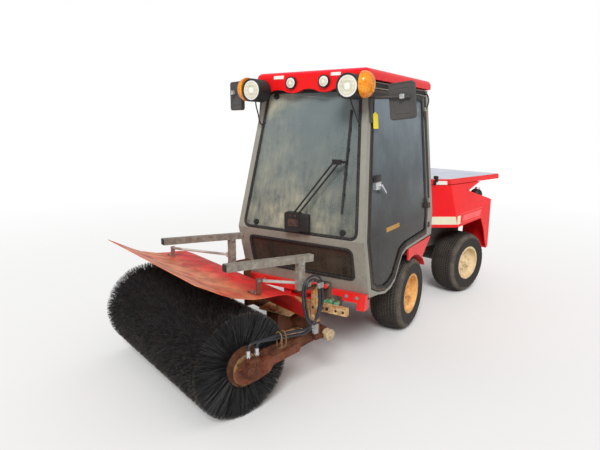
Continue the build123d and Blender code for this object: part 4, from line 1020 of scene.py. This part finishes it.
doorTags = {
    "yellow_tag": {"look": "yellowTag", "thick": 0.0016, "outline": [
        (0.4405, -0.728, 1.602), (0.4405, -0.652, 1.602), (0.4325, -0.65, 1.69), (0.43, -0.69, 1.708),
        (0.4325, -0.73, 1.69)]},
    "door_sticker": {"look": "sticker", "thick": 0.001, "outline": [
        (0.4885, -0.57, 0.934), (0.4885, -0.33, 0.934), (0.4915, -0.33, 0.904), (0.4915, -0.57, 0.904)]},
}

lampPieces()
blankLabels()
for side, look in mirrors.items():
    mirrorDetail(side, look)
cabFittings()
doorGaskets()
wiperDetail()
for name, look in doorTags.items():
    bm = bmesh.new()
    addPlate(bm, roundedOutline(look["outline"], 0.006, 3), (1, 0, 0.1), look["thick"])
    putPiece(name, bm, look["look"], "door_left")
print("stage: cab fittings")

# rear unit: stripes, label, lid cover, catches, lamp bezels and the cover on its deck

rearBody = {"half": 0.5, "lidTop": 1.15, "noseY": 0.05, "foldY": 0.178, "slope": 0.3834, "topZ": 1.164,
            "lidEnd": 1.028, "noseCut": 0.128, "noseRun": 1.2355, "bezel": 0.008, "bezelIn": 0.004}
stripe = {"low": 0.714, "high": 0.792, "proud": 0.0012, "lift": 0.0002, "wrap": 0.05}
deckCover = {"place": (0.432, 0.752, 0.9515), "axis": (0, 0.27, 0.963),
             "dome": [(0.055, 0.0), (0.058, 0.008), (0.055, 0.026), (0.044, 0.046), (0.03, 0.057),
                      (0.018, 0.059)],
             "cap": [(0.026, 0.054), (0.027, 0.06), (0.025, 0.072), (0.019, 0.077), (0.006, 0.078)]}


def foldY(z):
    return rearBody["foldY"] + rearBody["slope"] * (rearBody["topZ"] - z)


def noseX(z):
    deep = rearBody["slope"] * (z - rearBody["topZ"]) - rearBody["noseCut"]
    return rearBody["half"] + deep / rearBody["noseRun"]


def nosePoint(side, share, z, lift=0.0):
    # share runs along the slanted nose, from its front edge to the fold
    deep, wide = foldY(z) - rearBody["noseY"], rearBody["half"] - noseX(z)
    across = Vector((deep, -wide, 0)).normalized() * lift
    return Vector((side * (noseX(z) + share * wide + across.x),
                   rearBody["noseY"] + share * deep + across.y, z))


def noseNormal(side, z):
    return nosePoint(side, 0.5, z, 1.0) - nosePoint(side, 0.5, z)


def rearStripes():
    cream, band = bmesh.new(), bmesh.new()
    low, high, proud = stripe["low"], stripe["high"], stripe["proud"]
    for side in (-1, 1):
        outline = [nosePoint(side, share, z, stripe["lift"])
                   for share, z in ((0.02, low), (0.985, low), (0.985, high), (0.02, high))]
        addPlate(cream, outline, noseNormal(side, low), proud)

        def addFlat(bm, thick, *corners):
            x = side * (rearBody["half"] + stripe["lift"])
            addPlate(bm, [(x, y, z) for y, z in corners], (side, 0, 0), thick)

        start = foldY(0.75) + 0.006
        end = start + stripe["wrap"]
        addFlat(cream, proud, (start, low), (end, low + 0.002), (end, high + 0.006), (start, high + 0.001))
        for z0, y1, z1, wide in ((0.716, 0.75, 0.742, 0.0055), (0.806, 0.77, 0.834, 0.0055)):
            addFlat(band, proud, (0.392, z0), (y1, z1), (y1, z1 + wide), (0.392, z0 + wide))
        addFlat(band, proud * 0.5, (0.42, 0.735), (0.735, 0.757), (0.757, 0.815), (0.442, 0.793))
    putPiece("rear_stripe", cream, "creamStripe", "rear_unit")
    putPiece("rear_band", band, "fadedBand", "rear_unit")


def lidPieces():
    bm = bmesh.new()
    corners = ((0.28, 1.1), (0.82, 1.1), (0.82, 1.134), (0.28, 1.134))
    outline = [nosePoint(1, share, z, 0.0004) for share, z in corners]
    addPlate(bm, roundedOutline(outline, 0.004, 3), noseNormal(1, 1.07), 0.0012)
    putPiece("rear_label", bm, "whiteVinyl", "rear_lid")
    # pale cover on the lid, following its cut corners, with three pressed ribs
    z, end = rearBody["lidTop"], rearBody["lidEnd"]
    nose, fold = noseX(z) - 0.004, foldY(z) + 0.002
    corners = [(-nose, 0.054), (nose, 0.054), (0.494, fold), (0.494, end), (-0.494, end), (-0.494, fold)]
    bm = bmesh.new()
    addPlate(bm, roundedOutline([(x, y, z + 0.0002) for x, y in corners], 0.02, 4), upward, 0.003)
    for x in (-0.25, 0.0, 0.25):
        addRings(bm, [[Vector((x + out, y, z + rise)) for out, rise in (
            (-0.022, 0.003), (-0.014, 0.0032 + lift), (0.014, 0.0032 + lift), (0.022, 0.003))]
            for y, lift in ((0.2, 0.0), (0.22, 0.005), (0.93, 0.005), (0.95, 0.0))])
    putPiece("lid_cover", bm, "lidTop", "rear_lid")
    bm = bmesh.new()
    for side in (-1, 1):
        spot = nosePoint(side, 0.25, 1.128)
        addBlock(bm, spot + Vector((0, 0.002, 0.026)), (0.02, 0.012, 0.026), 0.006)
        addBlock(bm, spot + Vector((0, -0.01, -0.01)), (0.012, 0.006, 0.02), 0.003)
    putPiece("lid_catches", bm, "rubber", "rear_lid")


def lampBezels():
    # the two rear lamps share one node, so they are told apart by side
    bm = bmesh.new()
    node, off = cadNodes["rear_lamps"], rearBody["bezelIn"]
    back = unitMatrix("rear").inverted() @ node.matrix_world
    points = [back @ vert.co for vert in node.data.vertices]
    for side in (-1, 1):
        sides = zip(*(point for point in points if point.x * side > 0))
        (x0, x1), (ignored, y), (z0, z1) = [(min(values), max(values)) for values in sides]
        outline = roundedOutline(rectangle(x0 - off, x1 + off, y - off, z0 - off, z1 + off), 0.01, 4)
        addBand(bm, outline, -forward, rearBody["bezel"], rearBody["bezel"])
    putPiece("rear_lamp_bezels", bm, "blackPlastic", "rear_unit")


def deckPieces():
    bm = bmesh.new()
    addTurned(bm, deckCover["dome"], deckCover["place"], deckCover["axis"], 40)
    putPiece("deck_cover", bm, "blackPlastic", "rear_unit")
    bm = bmesh.new()
    addTurned(bm, deckCover["cap"], deckCover["place"], deckCover["axis"])
    putPiece("deck_cap", bm, "silverSteel", "rear_unit")


rearStripes()
lidPieces()
lampBezels()
deckPieces()
print("stage: rear unit")

# broom frame, hood and hydraulics; the drive-side arm's face looks to the machine's left

arm = {"face": 0.3482, "coverFace": 0.3484, "thick": 0.0045,
       "bolts": [(-0.38, 0.33), (-0.3, 0.372), (-0.17, 0.372), (-0.03, 0.372), (0.05, 0.376)],
       "strip": [(-0.4, 0.366), (-0.33, 0.388), (-0.06, 0.404), (0.07, 0.396)],
       "cover": [(-0.562, 0.33), (-0.34, 0.352), (-0.318, 0.33), (-0.12, 0.362), (-0.112, 0.306),
                 (-0.31, 0.282), (-0.338, 0.246), (-0.42, 0.226), (-0.488, 0.2205), (-0.54, 0.238),
                 (-0.568, 0.272), (-0.576, 0.306)],
       "coverBolts": [(-0.535, 0.268), (-0.38, 0.262), (-0.38, 0.33), (-0.2, 0.336), (-0.14, 0.338)],
       "coverTop": [(-0.56, 0.331), (-0.45, 0.342), (-0.342, 0.353)]}
hub = {"plate": [(0.066, 0.0), (0.066, 0.003), (0.06, 0.0055), (0.042, 0.006)],
       "ring": [(0.09, 0.0), (0.09, 0.003), (0.086, 0.0042), (0.079, 0.0042), (0.077, 0.0012), (0.058, 0.001),
                (0.056, 0.0)],
       "collar": [(0.0402, 0.006), (0.043, 0.006), (0.043, 0.02), (0.0402, 0.02)],
       "motor": [(0.03, 0.0442), (0.03, 0.05), (0.026, 0.053), (0.01, 0.054), (0.009, 0.058),
                 (0.0005, 0.058)],
       "ports": (-0.49, -0.434)}
beamCap = {"place": (0.3602, 0.086, 0.365), "profile": [
    (0.035, 0.0), (0.035, 0.03), (0.0368, 0.031), (0.0368, 0.038), (0.034, 0.04), (0.02, 0.0404),
    (0.018, 0.038), (0.0005, 0.0375)]}


def hubSpot(x, radius=0.0, u=0.0, v=0.0):
    return (x, brush["axisY"] + u * radius, brush["axisZ"] + v * radius)


def armDetail():
    # welded stiffener strip, bolts and hub plate on the outer face of the arm
    bm = bmesh.new()
    face = arm["face"]
    addBolts(bm, [(face, y, z) for y, z in arm["bolts"]], leftward)
    addBolts(bm, [hubSpot(face, 0.076, u, v) for u, v in circle(6, 0.4)], leftward, 0.0085)
    addLathe(bm, hub["plate"], axisPlace(hubSpot(face), leftward), 40)
    addRings(bm, [rectangle(face - 0.001, face + 0.006, y, z - 0.006, z) for y, z in arm["strip"]])
    addBolts(bm, [(x, -0.0162, z) for x in riser["posts"] for z in (0.43, 0.56)], forward, 0.011)
    putPiece("arm_detail", bm, "rustySteel", "broom")
    bm = bmesh.new()
    addTurned(bm, beamCap["profile"], beamCap["place"], leftward, 36)
    addBolts(bm, [Vector(beamCap["place"]) + leftward * 0.0378], leftward, 0.011)
    putPiece("beam_cap", bm, "carrierCap", "broom")


def armCover():
    # raised cover folded over the lower half of the hub and along the arm
    bm = bmesh.new()
    face = arm["coverFace"]
    addPlate(bm, roundedOutline([(face, y, z) for y, z in arm["cover"]], 0.02, 4), leftward, arm["thick"])
    addRings(bm, [rectangle(face + 0.004, face + 0.016, y, z - 0.007, z - 0.002) for y, z in arm["coverTop"]])
    addBolts(bm, [(face + 0.0044, y, z) for y, z in arm["coverBolts"]], leftward, 0.009)
    putPiece("arm_cover", bm, "armPaint", "broom")
    bm = bmesh.new()
    addLathe(bm, hub["ring"], axisPlace(hubSpot(face), leftward), 56)
    putPiece("hub_ring", bm, "hubDirt", "broom")


# wire loops round the hoses; route rows are place across the broom, share of the lean, height
hoseGuard = {"loops": ((-0.292, 0.01), (-0.262, 0.006)), "radius": 0.0038, "route": [
    (0.349, 1, 0.378), (0.35, 0.6, 0.43), (0.356, 0, 0.47), (0.378, 0, 0.484), (0.401, 0, 0.472),
    (0.406, 0, 0.44), (0.396, 0.6, 0.4), (0.35, 1, 0.366)]}


def hoseGuards():
    bm = bmesh.new()
    for y, lean in hoseGuard["loops"]:
        route = [(x, y + lean * share, z) for x, share, z in hoseGuard["route"]]
        addTube(bm, smoothCurve(route, 5), hoseGuard["radius"], 8)
    putPiece("hose_guard", bm, "hubDirt", "broom")


riser = {"posts": (0.357, -0.381), "low": 0.47, "high": 0.69, "side": 0.3774}


def riserPlate():
    bm = bmesh.new()
    x, low, high = riser["side"], riser["low"], riser["high"]
    addBox(bm, (x - 0.0002, -0.015, low), (x + 0.0012, 0.019, high), 0.0006)
    addBand(bm, sideRectangle(x, -0.014, 0.018, low, high), leftward, 0.004, 0.005, 6)
    plate = rectangle(0.339, 0.375, -0.0164, low + 0.002, high - 0.002)
    addPlate(bm, roundedOutline(plate, 0.004, 3), forward, 0.003)
    addBolts(bm, [(riser["posts"][0], -0.0194, z) for z in (0.5, 0.66)], forward, 0.009)
    putPiece("riser_plate", bm, "carrierPaint", "broom")


carrier = {"front": -0.9904, "plate": (0.318, 0.404, 0.418, 0.462),
           "gusset": [(0.15, 0.464), (0.29, 0.464), (0.29, 0.428), (0.262, 0.416), (0.15, 0.416)]}


def carrierDetail():
    bm = bmesh.new()
    y = carrier["front"]
    x0, x1, z0, z1 = carrier["plate"]
    plate = roundedOutline(rectangle(x0, x1, y, z0, z1), 0.004, 3)
    addPlate(bm, plate, forward, 0.003)
    addBand(bm, [point + forward * 0.003 for point in plate], forward, 0.004, 0.004, 6)
    addPlate(bm, roundedOutline([(x, y, z) for x, z in carrier["gusset"]], 0.005, 3), forward, 0.005)
    addBand(bm, sideRectangle(0.4102, -0.988, -0.962, 0.414, 0.466), leftward, 0.004, 0.004, 6)
    putPiece("carrier_plates", bm, "carrierLight", "lift_arms")
    bm = bmesh.new()
    addBolts(bm, [(x, y - 0.005, 0.442) for x in (0.18, 0.235, 0.27)], forward)
    addBolts(bm, [(x, y - 0.003, 0.44) for x in (0.334, 0.388)], forward, 0.008)
    putPiece("carrier_bolts", bm, "rustySteel", "lift_arms")


def motorDetail():
    bm = bmesh.new()
    face = arm["face"] + 0.0001
    addLathe(bm, hub["collar"], axisPlace(hubSpot(face), leftward), 40)
    addTurned(bm, hub["motor"], hubSpot(face), leftward, 32)
    addBolts(bm, [hubSpot(face + 0.0442, 0.032, u, v) for u, v in circle(4, 0.6)], leftward, 0.006, False)
    putPiece("motor_detail", bm, "rustySteel", "broom")
    bm = bmesh.new()
    for y in hub["ports"]:
        spot = (0.3653, y, 0.386)
        addTurned(bm, [(0.0145, 0.0), (0.0145, 0.012)], spot, upward, 6)
        addTurned(bm, [(0.0105, 0.012), (0.0112, 0.016), (0.0112, 0.036), (0.0098, 0.04)], spot, upward, 20)
    putPiece("motor_fittings", bm, "silverSteel", "broom")


hoses = {"radius": 0.0066, "routes": [
    [(0.3875, -0.002, 0.7), (0.388, -0.008, 0.722), (0.3885, -0.028, 0.741), (0.389, -0.056, 0.746),
     (0.389, -0.084, 0.735), (0.389, -0.104, 0.705), (0.3885, -0.108, 0.66), (0.388, -0.1, 0.59),
     (0.388, -0.082, 0.52), (0.386, -0.052, 0.45), (0.382, -0.034, 0.42)],
    [(0.3875, 0.02, 0.7), (0.389, 0.015, 0.728), (0.39, -0.008, 0.756), (0.391, -0.05, 0.769),
     (0.392, -0.092, 0.758), (0.393, -0.122, 0.725), (0.3945, -0.132, 0.672), (0.395, -0.126, 0.6),
     (0.395, -0.106, 0.53), (0.392, -0.07, 0.47), (0.387, -0.036, 0.446)]],
    "sleeve": [(0.0082, 0.0), (0.01, 0.003), (0.01, 0.026), (0.0082, 0.03)],
    "joint": [(0.0118, -0.016), (0.0126, -0.012), (0.0126, 0.012), (0.0118, 0.016)]}


def hoseLoops():
    loops, bm = bmesh.new(), bmesh.new()
    for route in hoses["routes"]:
        addTube(loops, smoothCurve(route, 7), hoses["radius"], 12)
        end = Vector(route[-1])
        along = (end - Vector(route[-2])).normalized()
        addTurned(bm, hoses["sleeve"], end - along * 0.03, along, 20)
        addTurned(bm, [(0.0125, 0.03), (0.0125, 0.042)], end - along * 0.03, along, 6)
        addTurned(bm, hoses["joint"], route[0], upward, 20)
    putPiece("hose_loops", loops, "hoseRubber", "broom")
    addBox(bm, (0.3772, -0.04, 0.402), (0.394, -0.006, 0.462), 0.003)
    for z in (0.56, 0.63):
        addBox(bm, (0.3772, -0.02, z - 0.008), (0.38, 0.036, z + 0.008), 0.001)
    putPiece("hose_fittings", bm, "zincSteel", "broom")


# places of the slots' bolts, and of the stay rods' pins on the hood and at the posts
hood = {"slots": [(0.224, -0.346, 0.6868), (-0.838, -0.35, 0.687)],
        "rodPins": [(0.272, -0.352, 0.772), (-0.79, -0.366, 0.752)],
        "postPins": [(0.325, -0.05, 0.706), (-0.413, -0.128, 0.742)],
        "slotY": -0.347, "slotHalf": (0.058, 0.031), "creaseY": -0.337, "creaseZ": 0.68,
        "frontSlope": 0.209, "rearSlope": 0.085}
barEnds = ((-0.0358, 0.87, 1), (-0.6162, 0.912, -1))


def hoodTrim():
    # bolts at the slots, and the pivots of the stay rods
    bm = bmesh.new()
    slotBolts = [(x + shift, y, z - 0.001) for x, y, z in hood["slots"] for shift in (-0.02, 0.02)]
    addBolts(bm, slotBolts, upward, 0.011)
    for side in (-1, 1):
        addBolts(bm, [(x + side * 0.0062, y, z) for x, y, z in hood["rodPins"]], (side, 0, 0), 0.009)
    addBolts(bm, [(x - 0.01, y, z) for x, y, z in hood["postPins"]], -leftward, 0.009)
    addBolts(bm, [(x + 0.0202, -0.121, z) for x in riser["posts"] for z in (0.85, 0.73)], leftward)
    putPiece("hood_bolts", bm, "zincSteel", "broom")
    # rusty wear plates round the slots, lying on the hood
    bm = bmesh.new()
    for x, ignored, ignored in hood["slots"]:
        rings = []
        for grow, lift in ((1.0, 0.0006), (0.97, 0.0022), (0.72, 0.0022), (0.7, 0.0006)):
            ring = []
            for u, v in circle(28):
                y = hood["slotY"] + v * hood["slotHalf"][1] * grow
                drop = hood["creaseY"] - y
                z = hood["creaseZ"] + drop * hood["frontSlope" if drop > 0 else "rearSlope"]
                ring.append(Vector((x + u * hood["slotHalf"][0] * grow, y, z + lift)))
            rings.append(ring)
        addRings(bm, rings, caps=False)
    putPiece("slot_plates", bm, "slotRust", "broom")
    # plugs closing the ends of the square bars
    bm = bmesh.new()
    for x in riser["posts"]:
        for y, z, out in barEnds:
            addBlock(bm, (x, y + out * 0.0015, z), (0.0185, 0.0015, 0.0185), 0.003)
    putPiece("bar_plugs", bm, "blackPlastic", "broom")


# two rows of couplers, with the profiles of body, cap and rear nut and the run of the hose behind
couplers = {
    "front": -0.9086, "back": -0.905, "hose": 0.0078,
    "lower": {"x": (0.185, 0.226, 0.267, 0.308), "z": (0.4735, 0.4645), "green": (0, 1, 2, 3), "nut": 0.0155,
              "body": [(0.012, 0.009), (0.012, 0.014), (0.0148, 0.016), (0.0148, 0.029), (0.0125, 0.031)],
              "cap": [(0.0156, 0.031), (0.0156, 0.042), (0.013, 0.045), (0.003, 0.046)],
              "rear": [(0.0125, 0.0), (0.0125, 0.02), (0.01, 0.022)],
              "route": [(0, -0.888, 0), (0, -0.86, -0.001), (0, -0.82, -0.004), (-0.004, -0.78, -0.01),
                        (-0.016, -0.7, -0.016), (-0.03, -0.62, -0.02)]},
    "upper": {"x": (0.146, 0.186, 0.226), "z": (0.574, 0.574), "green": (1,), "nut": 0.015,
              "body": [(0.0115, 0.009), (0.0115, 0.013), (0.014, 0.015), (0.014, 0.026), (0.012, 0.028)],
              "cap": [(0.015, 0.028), (0.015, 0.037), (0.0125, 0.04), (0.003, 0.041)],
              "rear": [(0.012, 0.0), (0.012, 0.014), (0.0095, 0.016)],
              "route": [(0, -0.892, 0), (0, -0.88, 0), (0, -0.866, 0)]}}
hoseEnd = [(0.0095, -0.012), (0.0105, -0.01), (0.0105, 0.01), (0.0095, 0.012)]


def frontCouplers():
    bodies, dark, green, red = (bmesh.new() for ignored in range(4))
    for place in ("lower", "upper"):
        row = couplers[place]
        for index, x in enumerate(row["x"]):
            z = row["z"][index % 2]
            spot = (x, couplers["front"], z)
            addTurned(bodies, [(row["nut"], 0.0), (row["nut"], 0.009)], spot, forward, 6)
            addTurned(bodies, row["body"], spot, forward)
            addTurned(green if index in row["green"] else red, row["cap"], spot, forward)
            addTurned(bodies, row["rear"], (x, couplers["back"], z), -forward, 6)
            route = [Vector((x + out, y, z + rise)) for out, y, rise in row["route"]]
            addTube(dark, smoothCurve(route, 5) if place == "lower" else route, couplers["hose"], 10)
            if place == "lower":
                addTurned(bodies, hoseEnd, route[-1], route[-1] - route[-2], 16)
    putPiece("coupler_red_caps", red, "redPaint", "front_unit")
    putPiece("coupler_bodies", bodies, "brass", "front_unit")
    putPiece("coupler_caps", green, "greenCap", "front_unit")
    putPiece("coupler_hoses", dark, "hoseRubber", "front_unit")
    bm = bmesh.new()
    addPlate(bm, roundedOutline(rectangle(0.16, 0.334, -0.9054, 0.446, 0.512), 0.008, 3), forward, 0.0032)
    addPlate(bm, roundedOutline(rectangle(0.118, 0.254, -0.9054, 0.5, 0.598), 0.01, 3), forward, 0.003)
    addBox(bm, (0.14, -0.64, 0.424), (0.3, -0.6, 0.47), 0.003)
    addBolts(bm, [(x, couplers["front"], 0.499) for x in (0.176, 0.247, 0.318)], forward, 0.008)
    putPiece("coupler_bracket", bm, "darkSteel", "front_unit")
    bm = bmesh.new()
    addBolts(bm, [(x, -0.9052, 0.522) for x in (-0.44, -0.3, -0.15, 0.0, 0.365, 0.44)], forward, 0.011)
    putPiece("beam_bolts", bm, "zincSteel", "front_unit")


armDetail()
armCover()
hoseGuards()
riserPlate()
carrierDetail()
motorDetail()
hoseLoops()
hoodTrim()
frontCouplers()
print("stage: broom and couplers")

# seat and dash

seatPads = {
    "seat_pad": {"size": (0.42, 0.37, 0.09), "place": (0, 0.08, 0.822), "tilt": 0, "node": "seat_cushion"},
    "seat_back_pad": {"size": (0.42, 0.51, 0.08), "place": (0, 0.274, 1.142), "tilt": 96,
                      "node": "seat_back"}}
padLook = {"steps": 28, "seams": (-0.42, 0.42), "seamDepth": 0.16, "seamWide": 0.035, "pinch": 0.035,
           "piping": 0.007, "fill": 0.7}


def crownedPad(name, look):
    # rounded pad whose face swells between sewn channels
    bm = bmesh.new()
    steps = padLook["steps"]
    wide, deep, thick = look["size"]
    place = Matrix.Translation(look["place"]) @ Matrix.Rotation(math.radians(look["tilt"]), 4, "X")

    def flatPoint(u, v):
        # sides pull in between the corners
        pinch = 1 - padLook["pinch"] * ((1 - u * u) * abs(v) + (1 - v * v) * abs(u))
        return Vector((u * wide / 2 * pinch, v * deep / 2 * pinch, 0))

    def share(step):
        return step / steps * 2 - 1

    rows = {}
    for level in (0, 1):
        for i in range(steps + 1):
            for j in range(steps + 1):
                u, v = share(i), share(j)
                if max(abs(u), abs(v)) == 1:
                    if level == 0:
                        rows[(0, i, j)] = rows[(1, i, j)] = bm.verts.new(place @ flatPoint(u, v))
                    continue
                edge = 1 - max(abs(u), abs(v)) ** 6
                swell = edge ** 0.45 * (0.8 + 0.2 * (1 - u * u) * (1 - v * v))
                for line in padLook["seams"]:
                    channel = math.exp(-((u - line) / padLook["seamWide"]) ** 2)
                    swell -= padLook["seamDepth"] * channel * edge * level
                rise = Vector((0, 0, thick / 2 * swell * (1 if level else -0.75)))
                rows[(level, i, j)] = bm.verts.new(place @ (flatPoint(u, v) + rise))
    for level in (0, 1):
        for i in range(steps):
            for j in range(steps):
                bm.faces.new([rows[(level, i + a, j + b)] for a, b in ((0, 0), (1, 0), (1, 1), (0, 1))])
    rim = [(share(i), -1) for i in range(steps)] + [(1, share(i)) for i in range(steps)]
    rim += [(-u, -v) for u, v in rim]
    normal = (place.to_3x3() @ upward).normalized()
    addBand(bm, [place @ flatPoint(u, v) for u, v in rim], normal, padLook["piping"], padLook["piping"], 6)
    piece = putPiece(name, bm, "seatVinyl", "front_unit")
    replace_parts(piece, look["node"])


def addLever(bm, route, steps, radius, knob, spot, axis):
    addTube(bm, smoothCurve(route, steps), radius, 8)
    addTurned(bm, knob, spot, axis, 16)


dash = {"levers": (-0.1, -0.06), "sticks": (0.225, 0.265, 0.305),
        "dials": ((-0.03, 0.02), (0.035, 0.026), (0.1, 0.02)),
        "leverKnob": [(0.004, 0), (0.012, 0.006), (0.013, 0.018), (0.008, 0.026), (0.001, 0.028)],
        "stickKnob": [(0.006, 0), (0.015, 0.008), (0.016, 0.022), (0.01, 0.032), (0.001, 0.034)]}


def dashDetail():
    bm = bmesh.new()
    addBox(bm, (-0.15, -0.6998, 0.8702), (0.15, -0.664, 0.905), 0.01)
    for x in dash["levers"]:
        addLever(bm, [(x, -0.69, 0.87), (x, -0.688, 0.93), (x + 0.01, -0.672, 0.975)], 4, 0.005,
                 dash["leverKnob"], (x + 0.01, -0.672, 0.968), (0.1, 0.3, 1))
    for x in dash["sticks"]:
        addLever(bm, [(x, 0.02, 0.706), (x, 0.0, 0.82), (x, -0.03, 0.9)], 5, 0.006,
                 dash["stickKnob"], (x, -0.03, 0.89), (0, -0.3, 1))
    addBox(bm, (0.2, -0.06, 0.7065), (0.335, 0.11, 0.728), 0.008)
    putPiece("dash_detail", bm, "blackPlastic", "front_unit")
    bm = bmesh.new()
    for x, radius in dash["dials"]:
        dial = [(radius, 0.0), (radius, 0.006), (radius * 0.9, 0.0075), (radius * 0.86, 0.004),
                (0.0005, 0.004)]
        addTurned(bm, dial, (x, -0.6638, 0.888), -forward, 28)
    putPiece("dash_dials", bm, "whiteVinyl", "front_unit")


for name, look in seatPads.items():
    crownedPad(name, look)
dashDetail()
print("stage: interior")

# floor, backdrop, light and camera

stageLook = {"floor": (0.86, 0.86, 0.85), "floorSize": 60.0, "worldLight": 0.6, "keyPower": 2.3,
             "keyAngle": 22, "keyWay": (-0.42, 0.82, -0.8), "fadeNear": 3.6, "fadeFar": 8.0}


def plainFloor():
    mesh = bpy.data.meshes.new("floor")
    half = stageLook["floorSize"] / 2
    corners = [(-half, -half, 0), (half, -half, 0), (half, half, 0), (-half, half, 0)]
    mesh.from_pydata(corners, [], [(0, 1, 2, 3)])
    floor = bpy.data.objects.new("floor", mesh)
    bpy.context.scene.collection.objects.link(floor)
    # seen from the camera the floor turns plain white with distance
    mat = startMaterial("floor")
    far = vectorLength(mat, addNode(mat, "ShaderNodeTexCoord").outputs["Object"])
    seen = addNode(mat, "ShaderNodeLightPath").outputs["Is Camera Ray"]
    fade = times(mat, seen, ramp(mat, far, stageLook["fadeNear"], stageLook["fadeFar"]))
    matt = addNode(mat, "ShaderNodeBsdfDiffuse", {"Color": rgba(stageLook["floor"])})
    glow = addNode(mat, "ShaderNodeEmission", {"Color": (1, 1, 1, 1), "Strength": 1.0})
    both = addNode(mat, "ShaderNodeMixShader", {0: fade, 1: matt.outputs[0], 2: glow.outputs[0]})
    addNode(mat, "ShaderNodeOutputMaterial", {"Surface": both.outputs[0]})
    mesh.materials.append(mat)


def studioWorld():
    # the world has a node tree as a material has, so the same helpers serve
    world = bpy.data.worlds.new("studio")
    bpy.context.scene.world = world
    world.use_nodes = True
    world.node_tree.nodes.clear()
    path = addNode(world, "ShaderNodeLightPath").outputs
    seen = larger(world, path["Is Camera Ray"], path["Is Transmission Ray"])
    strength = addNode(world, "ShaderNodeMix", {0: seen, 2: stageLook["worldLight"], 3: 1.0}).outputs[0]
    back = addNode(world, "ShaderNodeBackground", {"Color": (1, 1, 1, 1), "Strength": strength})
    addNode(world, "ShaderNodeOutputWorld", {"Surface": back.outputs[0]})


def keyLight():
    lamp = bpy.data.lights.new("key", "SUN")
    lamp.energy = stageLook["keyPower"]
    lamp.angle = math.radians(stageLook["keyAngle"])
    holder = bpy.data.objects.new("key", lamp)
    bpy.context.scene.collection.objects.link(holder)
    holder.rotation_euler = Vector(stageLook["keyWay"]).to_track_quat("-Z", "Y").to_euler()


photoCamera = {"place": (1.751, -3.6532, 1.6235), "yaw": -0.5669, "pitch": 0.2013, "roll": 0.0028,
               "lens": 29.368}


def addCamera():
    camera = bpy.data.cameras.new("camera")
    camera.sensor_width = 36
    camera.lens = photoCamera["lens"]
    camera.clip_start = 0.05
    camera.clip_end = 200
    yaw, pitch, roll = (photoCamera[key] for key in ("yaw", "pitch", "roll"))
    sight = Vector((math.sin(yaw) * math.cos(pitch), math.cos(yaw) * math.cos(pitch), -math.sin(pitch)))
    level = Vector((math.cos(yaw), -math.sin(yaw), 0))
    above = level.cross(sight)
    across = level * math.cos(roll) + above * math.sin(roll)
    above = above * math.cos(roll) - level * math.sin(roll)
    turn = Matrix((across, above, -sight)).transposed().to_4x4()
    holder = bpy.data.objects.new("camera", camera)
    holder.matrix_world = Matrix.Translation(origin + Vector(photoCamera["place"])) @ turn
    bpy.context.scene.collection.objects.link(holder)
    bpy.context.scene.camera = holder


plainFloor()
studioWorld()
keyLight()
addCamera()
bpy.context.scene.view_settings.view_transform = "Standard"
print("stage: floor, light and camera")
